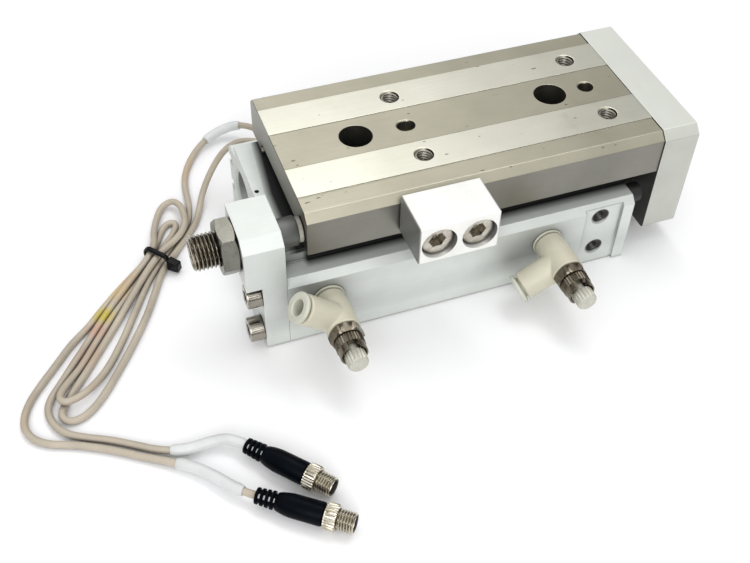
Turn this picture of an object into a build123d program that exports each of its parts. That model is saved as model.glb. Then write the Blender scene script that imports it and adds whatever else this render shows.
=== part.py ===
"""Twin-rod pneumatic slide table with a rear stroke adjuster, two elbow speed
controllers and two position sensors with tied leads.

Units are millimetres. The origin is the centre of the body's base face, +X runs
along the stroke towards the end plate, +Y towards the sensor side and +Z up.
"""
from build123d import *
import math
import os

os.makedirs("parts", exist_ok=True)

# Body
BODY_LENGTH = 149.6
BODY_WIDTH = 88.9
LEDGE_Z = 33.5
LEDGE_CHAMFER = 2.8
LAND_WIDTH = 67.0
LAND_Z = 39.5
BASE_EDGE_CHAMFER = 0.5
BORE_DIAMETER = 25.0
BORE_CHAMFER = 1.0
BORE_PITCH = 44.0
BORE_Z = 19.0
MOUNT_HOLE = 8.8
MOUNT_SEAT_Z = 28.0
VENT_DIAMETER = 1.8
VENT_DEPTH = 2.0
VENT_FROM_REAR = 1.8
VENT_Y = 3.2

# Table
TABLE_SETBACK = 10.0
TABLE_OVERHANG = 11.0
TABLE_TOP_Z = 60.0
TABLE_LEG_Z = 40.7
TABLE_WEB_Z = 46.0
TABLE_SHELF_WIDTH = 71.7
TABLE_EDGE_CHAMFER = 3.17
TABLE_LAND_INNER = 10.9
TABLE_LAND_OUTER = 27.4
TABLE_CENTRE_DROP = 0.25
TABLE_SHELF_DROP = 0.45
CAVITY_WIDTH = 47.8
TAP_FROM_REAR = 64.0
TAP_PITCH_Y = 38.4
TAP_FROM_FRONT = 5.0
TAP_DRILL = 6.8
TAP_CHAMFER = 0.6
TAP_DEPTH = 12.0
ACCESS_DIAMETER = 13.4
ACCESS_FROM_REAR = 42.6
ACCESS_FROM_FRONT = 21.7
PIN_DIAMETER = 6.0
PIN_CHAMFER = 0.5
PIN_SLOT_LENGTH = 7.0
PIN_FROM_REAR = 63.8
PIN_FROM_FRONT = 5.2
PIN_DEPTH = 8.0

# End plate
PLATE_THICKNESS = 15.7
PLATE_PROUD = 0.58
PLATE_BOTTOM_Z = 8.7
PLATE_CHAMFER = 3.6
PLATE_LOWER_CHAMFER = 1.0
PLATE_TAP_PITCH_Y = 56.0
PLATE_TAP_PITCH_Z = 16.0
PLATE_TAP_Z = 35.0
PLATE_TAP_DRILL = 5.0
PLATE_TAP_DEPTH = 12.0
PLATE_SCREW_INNER_Y = 12.0
PLATE_SCREW_FROM_SIDE = 7.52
PLATE_SCREW_DROP = 7.0
PLATE_SCREW_LENGTH = 20.0
PLATE_COUNTERBORE = 7.0

# Roller guide
RAIL_WIDTH = 45.8
RAIL_SEAT_Z = 37.5
RAIL_TOP_Z = 45.5
RAIL_FROM_REAR = 16.8
RAIL_FROM_FRONT = 2.8
RAIL_SCREW_FROM_REAR = (25.8, 60.8)
RAIL_SCREW_FROM_FRONT = (50.8, 8.8)
RAIL_SCREW_LENGTH = 12.0
RAIL_COUNTERBORE = 5.2
RACE_Z = 43.2
RACE_SQUARE = 3.0
RACE_RELIEF = 0.6
ROLLER_DIAMETER = 2.4
ROLLER_LENGTH = 2.1
ROLLER_PITCH = 7.0
ROLLER_COUNT = 12
CAGE_LENGTH = 88.0
CAGE_HEIGHT = 4.3
CAGE_THICKNESS = 0.5
CAGE_POCKET = 3.5

# Cylinders
ROD_DIAMETER = 12.0
ROD_SOCKET = 12.0
PISTON_FROM_REAR = 25.3
PISTON_LENGTH = 40.0
PISTON_SEAL_FROM_REAR = 9.5
PISTON_SEAL_DEPTH = 2.0
PISTON_SEAL_WIDTH = 3.0
MAGNET_FROM_REAR = 19.5
MAGNET_DEPTH = 3.0
MAGNET_WIDTH = 5.0
HEAD_RECESS = 5.0
HEAD_THICKNESS = 8.0
COVER_RECESS = 3.0
COVER_LENGTH = 31.0
ROD_SEAL_FROM_FRONT = 4.6
ROD_SEAL_WIDTH = 4.0
ROD_SEAL_WALL = 2.0
SNAP_THICKNESS = 1.2
SNAP_DEPTH = 1.0
SNAP_WALL = 2.2
SNAP_OPENING = 6.0
PORT_Z = 21.0
PORT_FROM_REAR = 16.2
PORT_FROM_FRONT = 39.0
PORT_DRILL = 8.6
PORT_CHAMFER = 0.4
PORT_DEPTH = 9.0
PASSAGE_DIAMETER = 3.0

# Front pad for a stroke stop holder
PAD_FROM_FRONT = 5.0
PAD_LENGTH = 17.4
PAD_TOP_Z = 31.8
PAD_DEPTH = 1.2
PAD_HOLE_FROM_FRONT = 14.8
PAD_HOLE_Z = 17.85
PAD_HOLE_PITCH = 17.3
PAD_HOLE_DRILL = 5.0
PAD_HOLE_CHAMFER = 0.9
PAD_HOLE_DEPTH = 8.0

# Front bumpers
BUMPER_DIAMETER = 8.4
BUMPER_LENGTH = 6.0
BUMPER_Y = 36.0
BUMPER_Z = 28.7

# Stop block on the table
BLOCK_FROM_TABLE_REAR = 36.6
BLOCK_LENGTH = 32.4
BLOCK_OUT = 20.3
BLOCK_ABOVE_LEG = 2.0
BLOCK_HEIGHT = 18.1
BLOCK_EDGE = 0.6
BLOCK_SCREW_PITCH = 16.2
BLOCK_SCREW_DROP = 9.2
BLOCK_SCREW_LENGTH = 24.0
BLOCK_COUNTERBORE = 10.0

# Rear stroke adjuster
HOLDER_Y0 = -19.1
HOLDER_WIDTH = 25.3
HOLDER_TOP_Z = 57.7
HOLDER_THICK = 15.8
HOLDER_FOOT_THICK = 9.6
HOLDER_STEP_Z = 34.1
HOLDER_BOTTOM_Z = 0.4
HOLDER_CHAMFER = 4.2
HOLDER_SCREW_Y = -39.4
HOLDER_SCREW_Z = (7.6, 27.0)
HOLDER_SCREW_GRIP = 9.0
ADJUSTER_Z = 48.2
ADJUSTER_THREAD = 13.8
ADJUSTER_CHAMFER = 0.9
ADJUSTER_NOSE = 11.6
ADJUSTER_STUD_OUT = 16.8
ADJUSTER_SOCKET = 6.0
CUSHION_DIAMETER = 10.0
CUSHION_THICK = 2.0
ADJUSTER_NUT_FLATS = 20.0
ADJUSTER_NUT_THICK = 6.4
ADJUSTER_NUT_TURN = 52.0

# Sensors in the far side grooves
GROOVE_Z = (11.5, 25.5)
GROOVE_DIAMETER = 4.6
GROOVE_MOUTH = 3.2
GROOVE_AXIS_DEPTH = 2.7
SENSOR_DIAMETER = 4.0
SENSOR_RIB = 2.8
SENSOR_LENGTH = 24.0
SENSOR_REAR_X = (-26.0, -44.0)
SENSOR_SCREW = 2.4
SENSOR_SCREW_LENGTH = 2.6
SENSOR_SCREW_FROM_FRONT = 4.0

# Speed controllers, with offsets measured outwards from the body's side
SWIVEL_ANGLES = (39.0, -29.0)
GASKET_DIAMETER = 13.0
GASKET_THICK = 0.8
STEM_SHANK = 8.5
STEM_DIAMETER = 9.2
STEM_FLATS = 12.0
STEM_HEX_OUT = 19.4
STEM_HEX_LENGTH = 4.2
BOSS_DIAMETER = 6.4
BOSS_OUT = 27.0
THROAT_DIAMETER = 2.0
THROAT_OUT = 14.6
THROAT_LENGTH = 2.4
AIR_BORE = 4.4
NEEDLE_DIAMETER = 4.8
NEEDLE_TIP = 1.6
NEEDLE_TIP_GAP = 1.0
NEEDLE_CONE = 2.0
ELBOW_ROOT = 11.8
ELBOW_SHOULDER = 13.0
ELBOW_SHOULDER_OUT = 6.0
ELBOW_TOP = 13.4
BRANCH_OUT = 12.5
BRANCH_LENGTH = 18.1
BRANCH_DIAMETER = 12.0
BRANCH_EDGE = 0.5
TUBE_BORE_DEPTH = 10.1
COLLAR_DIAMETER = 12.4
COLLAR_THICK = 1.8
COLLAR_TRAVEL = 0.8
COLLAR_SLEEVE_WALL = 1.1
COLLAR_SLEEVE = 9.1
COLLAR_EDGE = 0.5
TUBE_DIAMETER = 6.0
LOCK_DIAMETER = 11.6
LOCK_RING = 3.7
LOCK_PRONG = 3.2
LOCK_SLOT = 4.6
LOCK_TEETH = 30
KNOB_DIAMETER = 9.2
KNOB_OUT = 30.3
KNOB_LENGTH = 5.6
KNOB_RIBS = 20
RIB_DEPTH = 0.35

# Screws by size: shank, head diameter, head height, hex socket across flats
M5 = (5.0, 8.5, 5.0, 4.0)
M6 = (6.0, 10.0, 6.0, 5.0)
M8 = (8.0, 13.0, 8.0, 6.0)

# Leads
CORD_DIAMETER = 2.9
SLEEVE_DIAMETER = 4.6
LEAD_END_RUN = 7.0
LEAD_FLOOR_Z = 1.6
LEAD_A_UPPER = [
    (-42.5, 48.5, 11.5), (-48.0, 60.0, 11.0), (-51.5, 71.5, 10.0), (-55.5, 81.0, 9.0),
    (-61.9, 87.5, 7.0), (-69.6, 88.3, 5.0), (-77.9, 85.2, 3.5), (-85.5, 78.1, 2.4),
    (-91.7, 67.9, 1.6), (-94.3, 57.7, 1.6), (-94.9, 46.5, 1.6)]
LEAD_B_UPPER = [
    (-59.5, 49.5, 25.5), (-67.5, 53.7, 25.0), (-74.0, 54.3, 22.0), (-79.5, 54.0, 15.5),
    (-85.0, 51.5, 8.0), (-89.0, 46.6, 3.4), (-91.8, 40.0, 1.6)]
LEAD_A_LOWER = [
    (-157.5, -19.0, 1.6), (-164.3, -27.3, 1.6), (-171.3, -35.3, 1.6), (-177.3, -43.2, 1.6),
    (-180.2, -51.5, 1.6), (-178.4, -58.6, 1.6), (-172.9, -63.4, 1.6), (-165.3, -66.1, 1.6),
    (-157.3, -69.9, 1.6), (-149.3, -74.6, 1.6), (-141.0, -80.2, 1.7), (-132.6, -85.7, 2.4),
    (-124.7, -91.2, 2.9), (-118.4, -98.4, 3.7)]
LEAD_B_LOWER = [
    (-170.9, -48.6, 1.6), (-169.6, -55.6, 1.6), (-165.6, -61.2, 1.6), (-159.0, -65.1, 1.6),
    (-151.2, -68.8, 1.6), (-143.6, -73.6, 1.6), (-134.9, -80.0, 2.5), (-126.0, -83.0, 2.8),
    (-117.4, -83.2, 3.8)]
SLEEVE_RUN_COUNT = {"a_upper": (5, 7), "a_lower": (13, 15), "b_lower": (8, 11)}

# Hank of the leads, in a frame at the tie with s along the bundle and t across it
TIE_AT = (-115.5, 15.5)
TIE_HEADING = -130.6
HANK_HEIGHT = 6.0
HANK_WAIST = 5.5
HANK_UPPER_FACE = -19.0
HANK_STEP_A = 36.0
HANK_STEP_B = 72.0
HANK_CORD_T = (-1.2, -4.3, 7.7, 2.5)
HANK_LOBE = [(-9.4, 7.8), (-19.6, 12.8), (-28.5, 14.7), (-34.0, 11.5), (-33.0, 6.7),
             (-28.0, 2.5), (-24.0, 0.8)]
HANK_TAIL = [(80.0, -0.8), (85.0, -4.5), (86.5, -9.0), (82.0, -13.8), (76.0, -16.6),
             (68.0, -16.8), (46.0, -15.1), (30.0, -12.5), (13.5, -9.0)]
TIE_WIDTH = 3.2
TIE_WALL = 1.6
TIE_HEAD = (4.6, 5.0)
TIE_HEAD_PROUD = 1.0
TIE_NOTCH = 4.0

# Lead connectors: start of the boot and heading, then the pieces along the axis
CONNECTOR_START = ((-107.3, -111.0), (-105.0, -89.8))
CONNECTOR_HEADING = (-37.2, -48.4)
BOOT_TAIL = 4.8
BOOT_RIB = 0.6
BOOT_RIB_COUNT = 4
BOOT_RIB_PITCH = 1.9
BOOT_DIAMETER = 8.6
BOOT_TAPER_END = 13.0
BOOT_LENGTH = 25.2
RING_DIAMETER = 9.8
RING_LENGTH = 4.6
RING_TEETH = 30
PLUG_DIAMETER = 7.8
PLUG_LENGTH = 6.4
INSERT_DIAMETER = 6.2
INSERT_CUP_DEPTH = 5.0
INSERT_CUP_WALL = 0.6
CONTACT_DIAMETER = 1.0
CONTACT_DROP = 1.0
CONTACT_COUNT = 3
CONTACT_CIRCLE = 2.8

# Named clearances
FIT = 0.05
RUNNING = 0.1
MOVING_GAP = 0.3
PISTON_CLEARANCE = 0.25
ASSEMBLY = 0.5
PAST = 1.0

HALF_LENGTH = BODY_LENGTH / 2
HALF_WIDTH = BODY_WIDTH / 2
TABLE_REAR_X = TABLE_SETBACK - HALF_LENGTH
TABLE_FRONT_X = HALF_LENGTH + TABLE_OVERHANG
TABLE_HALF = TABLE_SHELF_WIDTH / 2 + TABLE_EDGE_CHAMFER
TABLE_SHELF_Z = TABLE_TOP_Z - TABLE_SHELF_DROP
TABLE_CENTRE_Z = TABLE_TOP_Z - TABLE_CENTRE_DROP
PLATE_FRONT_X = TABLE_FRONT_X + PLATE_THICKNESS
PLATE_HALF = TABLE_HALF + PLATE_PROUD
PLATE_SCREW_OUTER_Y = TABLE_HALF - PLATE_SCREW_FROM_SIDE
PLATE_SCREW_Y = (-PLATE_SCREW_OUTER_Y, -PLATE_SCREW_INNER_Y, PLATE_SCREW_INNER_Y, PLATE_SCREW_OUTER_Y)
PLATE_SCREW_Z = TABLE_TOP_Z - PLATE_SCREW_DROP
RAIL_REAR_X = RAIL_FROM_REAR - HALF_LENGTH
RAIL_FRONT_X = HALF_LENGTH - RAIL_FROM_FRONT
RAIL_SCREW_X = ([d - HALF_LENGTH for d in RAIL_SCREW_FROM_REAR]
                + [HALF_LENGTH - d for d in RAIL_SCREW_FROM_FRONT])
RACE_Y = (RAIL_WIDTH + CAVITY_WIDTH) / 4
ACCESS_X = (ACCESS_FROM_REAR - HALF_LENGTH, HALF_LENGTH - ACCESS_FROM_FRONT)
PIN_X = (PIN_FROM_REAR - HALF_LENGTH, HALF_LENGTH - PIN_FROM_FRONT)
TAP_X = (TAP_FROM_REAR - HALF_LENGTH, HALF_LENGTH - TAP_FROM_FRONT)
PORT_X = (PORT_FROM_REAR - HALF_LENGTH, HALF_LENGTH - PORT_FROM_FRONT)
PAD_X1 = HALF_LENGTH - PAD_FROM_FRONT
PAD_X0 = PAD_X1 - PAD_LENGTH
PAD_HOLE_X = HALF_LENGTH - PAD_HOLE_FROM_FRONT
BORE_RADIUS = BORE_DIAMETER / 2
BORE_Y = {"near": -BORE_PITCH / 2, "far": BORE_PITCH / 2}
SIGN = {"near": -1, "far": 1}
PISTON_REAR_X = PISTON_FROM_REAR - HALF_LENGTH
PISTON_FRONT_X = PISTON_REAR_X + PISTON_LENGTH
ROD_REAR_X = PISTON_FRONT_X - ROD_SOCKET
CAP_REAR_X = -HALF_LENGTH + HEAD_RECESS + SNAP_THICKNESS
COVER_FRONT_X = HALF_LENGTH - COVER_RECESS - SNAP_THICKNESS
COVER_REAR_X = COVER_FRONT_X - COVER_LENGTH
SNAP_X = (CAP_REAR_X - SNAP_THICKNESS, COVER_FRONT_X)
HOLDER_Y = HOLDER_Y0 - HOLDER_WIDTH / 2
HOLDER_REAR_X = -HALF_LENGTH - HOLDER_THICK
ADJUSTER_END_X = HOLDER_REAR_X - ADJUSTER_STUD_OUT
BLOCK_X0 = TABLE_REAR_X + BLOCK_FROM_TABLE_REAR
BLOCK_BOTTOM_Z = TABLE_LEG_Z + BLOCK_ABOVE_LEG
BLOCK_TOP_Z = BLOCK_BOTTOM_Z + BLOCK_HEIGHT
BLOCK_SCREW_Z = BLOCK_TOP_Z - BLOCK_SCREW_DROP
BLOCK_SCREW_X = [BLOCK_X0 + BLOCK_LENGTH / 2 + s * BLOCK_SCREW_PITCH / 2 for s in (-1, 1)]
GROOVE_Y = HALF_WIDTH - GROOVE_AXIS_DEPTH
OUTWARD = (0, -1, 0)
TIE_ALONG = (math.cos(math.radians(TIE_HEADING)), math.sin(math.radians(TIE_HEADING)))
TIE_ACROSS = (TIE_ALONG[1], -TIE_ALONG[0])


def save(shape, name):
    """Write one node."""
    shape.label = name
    export_step(shape, "parts/" + name + ".step")


def group(solids):
    """Keep separate solids together in one node."""
    return Compound(children=list(solids))


def mirrored(right):
    """Close a YZ outline that is the same on both sides."""
    return right + [(-y, z) for y, z in reversed(right)]


def prism_x(outline, x0, x1):
    """Extrude a closed YZ outline from x0 to x1."""
    face = make_face(Polyline(*outline, close=True))
    return extrude(Plane.YZ.offset(x0) * face, amount=x1 - x0)


def cylinder(radius, length, origin, axis):
    """A cylinder that starts at origin and runs along axis."""
    base = Cylinder(radius, length, align=(Align.CENTER, Align.CENTER, Align.MIN))
    return Plane(origin=origin, z_dir=axis) * base


def turned(outline, origin, axis):
    """Revolve (radius, height) points about axis; the outline closes on itself."""
    face = Plane.XZ * make_face(Polyline(*outline, close=True))
    return Plane(origin=origin, z_dir=axis) * revolve(face, Axis.Z)


def solid_turned(outline, origin, axis):
    """Revolve (radius, height) points about axis, closed on the axis."""
    ends = [(0, outline[0][1])] + list(outline) + [(0, outline[-1][1])]
    return turned(ends, origin, axis)


def hexagon(flats, length, origin, axis):
    """A hexagonal bar that starts at origin and runs along axis."""
    sketch = RegularPolygon(flats / 2, 6, major_radius=False)
    return Plane(origin=origin, z_dir=axis) * extrude(sketch, amount=length)


def ribbed(diameter, depth, count, length, origin, axis):
    """A bar with straight ribs all round, along axis from origin."""
    points = []
    for i in range(2 * count):
        radius = diameter / 2 - depth * (i % 2)
        angle = math.pi * i / count
        points.append((radius * math.cos(angle), radius * math.sin(angle)))
    sketch = make_face(Polyline(*points, close=True))
    return Plane(origin=origin, z_dir=axis) * extrude(sketch, amount=length)


def block(x0, x1, y0, y1, z0, z1):
    """A box from its six faces."""
    centre = Pos((x0 + x1) / 2, (y0 + y1) / 2, (z0 + z1) / 2)
    return centre * Box(x1 - x0, y1 - y0, z1 - z0)


def socket_screw(size, length, seat, axis):
    """A socket head screw: seat is the point under its head, axis points out of the head."""
    shank, head, height, flats = size
    edge = 0.12 * height
    outline = [(shank / 2, -length), (shank / 2, 0), (head / 2, 0),
               (head / 2, height - edge), (head / 2 - edge, height)]
    socket = Vector(*axis) * (0.45 * height) + Vector(*seat)
    return solid_turned(outline, seat, axis) - hexagon(flats, height, socket, axis)


def chamfered_bore(diameter, depth, edge, mouth, axis):
    """A blind hole cutter with its mouth at mouth; axis points out of the hole."""
    radius = diameter / 2
    outline = [(radius, -depth), (radius, -edge), (radius + edge, 0), (radius + edge, ASSEMBLY)]
    return solid_turned(outline, mouth, axis)


def vee_groove(side, into, x0, x1):
    """A right-angled roller race: into is -1 for the rail and +1 for the table leg."""
    apex = RACE_SQUARE / math.sqrt(2)
    centre = side * RACE_Y
    tip = centre + into * side * apex
    back = centre - into * side * apex
    half = RACE_RELIEF / 2
    outline = [(tip, RACE_Z), (centre, RACE_Z + apex), (back, RACE_Z), (centre, RACE_Z - apex)]
    relief = [(tip - half, RACE_Z - half), (tip + half, RACE_Z - half),
              (tip + half, RACE_Z + half), (tip - half, RACE_Z + half)]
    return prism_x(outline, x0, x1) + prism_x(relief, x0, x1)


def make_body():
    """Extruded body with the two bores, ports, sensor grooves and mounting holes."""
    body = prism_x(mirrored([
        (HALF_WIDTH - BASE_EDGE_CHAMFER, 0), (HALF_WIDTH, BASE_EDGE_CHAMFER),
        (HALF_WIDTH, LEDGE_Z - LEDGE_CHAMFER), (HALF_WIDTH - LEDGE_CHAMFER, LEDGE_Z),
        (LAND_WIDTH / 2, LEDGE_Z), (LAND_WIDTH / 2, LAND_Z)]), -HALF_LENGTH, HALF_LENGTH)
    bed = RAIL_WIDTH / 2 + RUNNING
    body -= block(RAIL_REAR_X - RUNNING, RAIL_FRONT_X + RUNNING, -bed, bed,
                  RAIL_SEAT_Z, LAND_Z + PAST)
    for y in BORE_Y.values():
        body -= chamfered_bore(BORE_DIAMETER, BODY_LENGTH + PAST, BORE_CHAMFER,
                               (-HALF_LENGTH, y, BORE_Z), (-1, 0, 0))
        for x in SNAP_X:
            body -= cylinder(BORE_RADIUS + SNAP_DEPTH, SNAP_THICKNESS, (x, y, BORE_Z), (1, 0, 0))
    for x in ACCESS_X:
        body -= cylinder(MOUNT_HOLE / 2, LAND_Z + 2 * PAST, (x, 0, -PAST), (0, 0, 1))
        body -= cylinder(ACCESS_DIAMETER / 2, LAND_Z, (x, 0, MOUNT_SEAT_Z), (0, 0, 1))
    for x in RAIL_SCREW_X:
        body -= cylinder(M5[0] / 2 + FIT, RAIL_SCREW_LENGTH, (x, 0, RAIL_SEAT_Z), (0, 0, -1))
    for x in PORT_X:
        body -= chamfered_bore(PORT_DRILL, PORT_DEPTH, PORT_CHAMFER, (x, -HALF_WIDTH, PORT_Z), OUTWARD)
        body -= cylinder(PASSAGE_DIAMETER / 2, HALF_WIDTH + BORE_PITCH / 4, (x, -HALF_WIDTH, PORT_Z),
                         (0, 1, 0))
    for z in GROOVE_Z:
        body -= cylinder(GROOVE_DIAMETER / 2, BODY_LENGTH, (-HALF_LENGTH, GROOVE_Y, z), (1, 0, 0))
        body -= block(-HALF_LENGTH, HALF_LENGTH, GROOVE_Y, HALF_WIDTH + PAST,
                      z - GROOVE_MOUTH / 2, z + GROOVE_MOUTH / 2)
    pad_y = -HALF_WIDTH + PAD_DEPTH
    body -= block(PAD_X0, PAD_X1, -HALF_WIDTH - PAST, pad_y, -PAST, PAD_TOP_Z)
    for side in (-1, 1):
        body -= chamfered_bore(PAD_HOLE_DRILL, PAD_HOLE_DEPTH, PAD_HOLE_CHAMFER,
                               (PAD_HOLE_X, pad_y, PAD_HOLE_Z + side * PAD_HOLE_PITCH / 2), OUTWARD)
    for z in HOLDER_SCREW_Z:
        body -= cylinder(M6[0] / 2 + FIT, HOLDER_SCREW_GRIP + PAST, (-HALF_LENGTH, HOLDER_SCREW_Y, z),
                         (1, 0, 0))
    vent = (-HALF_LENGTH + VENT_FROM_REAR, VENT_Y, LAND_Z)
    return body - cylinder(VENT_DIAMETER / 2, VENT_DEPTH, vent, (0, 0, -1))


def make_rail():
    """Guide rail with a race down each side, bolted in the body's bed."""
    rail = block(RAIL_REAR_X, RAIL_FRONT_X, -RAIL_WIDTH / 2, RAIL_WIDTH / 2, RAIL_SEAT_Z, RAIL_TOP_Z)
    for side in SIGN.values():
        rail -= vee_groove(side, -1, RAIL_REAR_X, RAIL_FRONT_X)
    for x in ACCESS_X:
        rail -= cylinder(ACCESS_DIAMETER / 2, RAIL_TOP_Z, (x, 0, RAIL_SEAT_Z - PAST), (0, 0, 1))
    for x in RAIL_SCREW_X:
        rail -= cylinder(M5[0] / 2 + ASSEMBLY / 2, RAIL_TOP_Z, (x, 0, RAIL_SEAT_Z - PAST), (0, 0, 1))
        rail -= cylinder(M5[1] / 2 + ASSEMBLY, RAIL_COUNTERBORE + PAST, (x, 0, RAIL_TOP_Z + PAST),
                         (0, 0, -1))
    return rail


def make_cage(side):
    """Flat roller cage with a row of pockets."""
    y = side * RACE_Y
    cage = block(-CAGE_LENGTH / 2, CAGE_LENGTH / 2, y - CAGE_THICKNESS / 2, y + CAGE_THICKNESS / 2,
                 RACE_Z - CAGE_HEIGHT / 2, RACE_Z + CAGE_HEIGHT / 2)
    for x in roller_places():
        cage -= cylinder(CAGE_POCKET / 2, 2 * CAGE_THICKNESS, (x, y - CAGE_THICKNESS, RACE_Z), (0, 1, 0))
    return cage


def roller_places():
    """X of each roller along the cage."""
    return [(i - (ROLLER_COUNT - 1) / 2) * ROLLER_PITCH for i in range(ROLLER_COUNT)]


def make_rollers(side):
    """Crossed rollers: each is turned a quarter turn from the one before."""
    rollers = []
    for i, x in enumerate(roller_places()):
        tilt = (0, 1, 1) if i % 2 else (0, 1, -1)
        start = Vector(x, side * RACE_Y, RACE_Z) - Vector(*tilt).normalized() * (ROLLER_LENGTH / 2)
        rollers.append(cylinder(ROLLER_DIAMETER / 2, ROLLER_LENGTH, start, tilt))
    return group(rollers)


def make_table():
    """Moving table: a channel section with races in its legs and two ground lands on top."""
    cavity = CAVITY_WIDTH / 2
    table = prism_x(mirrored([
        (TABLE_LAND_INNER, TABLE_CENTRE_Z), (TABLE_LAND_INNER, TABLE_TOP_Z),
        (TABLE_LAND_OUTER, TABLE_TOP_Z), (TABLE_LAND_OUTER, TABLE_SHELF_Z),
        (TABLE_SHELF_WIDTH / 2, TABLE_SHELF_Z), (TABLE_HALF, TABLE_SHELF_Z - TABLE_EDGE_CHAMFER),
        (TABLE_HALF, TABLE_LEG_Z), (cavity, TABLE_LEG_Z), (cavity, TABLE_WEB_Z)]),
        TABLE_REAR_X, TABLE_FRONT_X)
    for side in SIGN.values():
        table -= vee_groove(side, 1, TABLE_REAR_X, TABLE_FRONT_X)
    for x in TAP_X:
        for y in (-TAP_PITCH_Y / 2, TAP_PITCH_Y / 2):
            table -= chamfered_bore(TAP_DRILL, TAP_DEPTH, TAP_CHAMFER, (x, y, TABLE_TOP_Z), (0, 0, 1))
    for x in ACCESS_X:
        table -= cylinder(ACCESS_DIAMETER / 2, TABLE_TOP_Z, (x, 0, TABLE_LEG_Z), (0, 0, 1))
    table -= chamfered_bore(PIN_DIAMETER, PIN_DEPTH, PIN_CHAMFER, (PIN_X[1], 0, TABLE_CENTRE_Z), (0, 0, 1))
    down = Plane(origin=(PIN_X[0], 0, TABLE_CENTRE_Z), x_dir=(1, 0, 0), z_dir=(0, 0, -1))
    table -= down * extrude(SlotOverall(PIN_SLOT_LENGTH, PIN_DIAMETER), amount=PIN_DEPTH)
    mouth = SlotOverall(PIN_SLOT_LENGTH + 2 * PIN_CHAMFER, PIN_DIAMETER + 2 * PIN_CHAMFER)
    table -= down * extrude(mouth, amount=PIN_CHAMFER, taper=45)
    tapped = PLATE_SCREW_LENGTH - PLATE_THICKNESS + PLATE_COUNTERBORE + PAST
    for y in PLATE_SCREW_Y:
        table -= cylinder(M6[0] / 2 + FIT, tapped, (TABLE_FRONT_X, y, PLATE_SCREW_Z), (-1, 0, 0))
    tapped = BLOCK_SCREW_LENGTH - BLOCK_OUT + BLOCK_COUNTERBORE + PAST
    for x in BLOCK_SCREW_X:
        table -= cylinder(M8[0] / 2 + FIT, tapped, (x, -TABLE_HALF, BLOCK_SCREW_Z), (0, 1, 0))
    return table


def make_end_plate():
    """End plate across the table's front, which the rods pull on."""
    half = PLATE_HALF
    plate = prism_x(mirrored([
        (half - PLATE_LOWER_CHAMFER, PLATE_BOTTOM_Z), (half, PLATE_BOTTOM_Z + PLATE_LOWER_CHAMFER),
        (half, TABLE_TOP_Z - PLATE_CHAMFER), (half - PLATE_CHAMFER, TABLE_TOP_Z)]),
        TABLE_FRONT_X, PLATE_FRONT_X)
    places = [(y, PLATE_SCREW_Z) for y in PLATE_SCREW_Y] + [(y, BORE_Z) for y in BORE_Y.values()]
    for y, z in places:
        plate -= cylinder(M6[0] / 2 + MOVING_GAP, PLATE_THICKNESS, (TABLE_FRONT_X, y, z), (1, 0, 0))
        plate -= cylinder(M6[1] / 2 + ASSEMBLY, PLATE_COUNTERBORE, (PLATE_FRONT_X, y, z), (-1, 0, 0))
    for y in (-PLATE_TAP_PITCH_Y / 2, PLATE_TAP_PITCH_Y / 2):
        for z in (PLATE_TAP_Z - PLATE_TAP_PITCH_Z / 2, PLATE_TAP_Z + PLATE_TAP_PITCH_Z / 2):
            plate -= chamfered_bore(PLATE_TAP_DRILL, PLATE_TAP_DEPTH, TAP_CHAMFER,
                                    (PLATE_FRONT_X, y, z), (1, 0, 0))
    return plate


def make_stop_block():
    """Stop block bolted to the table's side."""
    solid = block(BLOCK_X0, BLOCK_X0 + BLOCK_LENGTH, -TABLE_HALF - BLOCK_OUT, -TABLE_HALF,
                  BLOCK_BOTTOM_Z, BLOCK_TOP_Z)
    solid = chamfer(solid.edges(), BLOCK_EDGE)
    for x in BLOCK_SCREW_X:
        mouth = (x, -TABLE_HALF - BLOCK_OUT, BLOCK_SCREW_Z)
        solid -= cylinder(M8[1] / 2 + ASSEMBLY, BLOCK_COUNTERBORE, mouth, (0, 1, 0))
        solid -= cylinder(M8[0] / 2 + ASSEMBLY, BLOCK_OUT, mouth, (0, 1, 0))
    return solid


def make_piston(y):
    """Piston with a seal groove, a magnet groove and a socket for the rod."""
    radius = BORE_RADIUS - PISTON_CLEARANCE
    seal = radius - PISTON_SEAL_DEPTH
    magnet = radius - MAGNET_DEPTH
    seal_end = PISTON_SEAL_FROM_REAR + PISTON_SEAL_WIDTH
    magnet_end = MAGNET_FROM_REAR + MAGNET_WIDTH
    piston = solid_turned([
        (radius, 0), (radius, PISTON_SEAL_FROM_REAR), (seal, PISTON_SEAL_FROM_REAR),
        (seal, seal_end), (radius, seal_end), (radius, MAGNET_FROM_REAR),
        (magnet, MAGNET_FROM_REAR), (magnet, magnet_end), (radius, magnet_end),
        (radius, PISTON_LENGTH)], (PISTON_REAR_X, y, BORE_Z), (1, 0, 0))
    return piston - cylinder(ROD_DIAMETER / 2 + FIT, ROD_SOCKET, (PISTON_FRONT_X, y, BORE_Z), (-1, 0, 0))


def make_piston_seal(y):
    """Seal ring in the piston's first groove."""
    inner = BORE_RADIUS - PISTON_CLEARANCE - PISTON_SEAL_DEPTH + FIT
    start = (PISTON_REAR_X + PISTON_SEAL_FROM_REAR + RUNNING, y, BORE_Z)
    return ring(inner, BORE_RADIUS - FIT, PISTON_SEAL_WIDTH - 2 * RUNNING, start)


def make_magnet(y):
    """Ring magnet that the sensors read, in the piston's second groove."""
    inner = BORE_RADIUS - PISTON_CLEARANCE - MAGNET_DEPTH + FIT
    start = (PISTON_REAR_X + MAGNET_FROM_REAR + FIT, y, BORE_Z)
    return ring(inner, BORE_RADIUS - PISTON_CLEARANCE - RUNNING, MAGNET_WIDTH - 2 * FIT, start)


def ring(inner, outer, width, start):
    """A plain ring along X."""
    return cylinder(outer, width, start, (1, 0, 0)) - cylinder(inner, width, start, (1, 0, 0))


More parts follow.
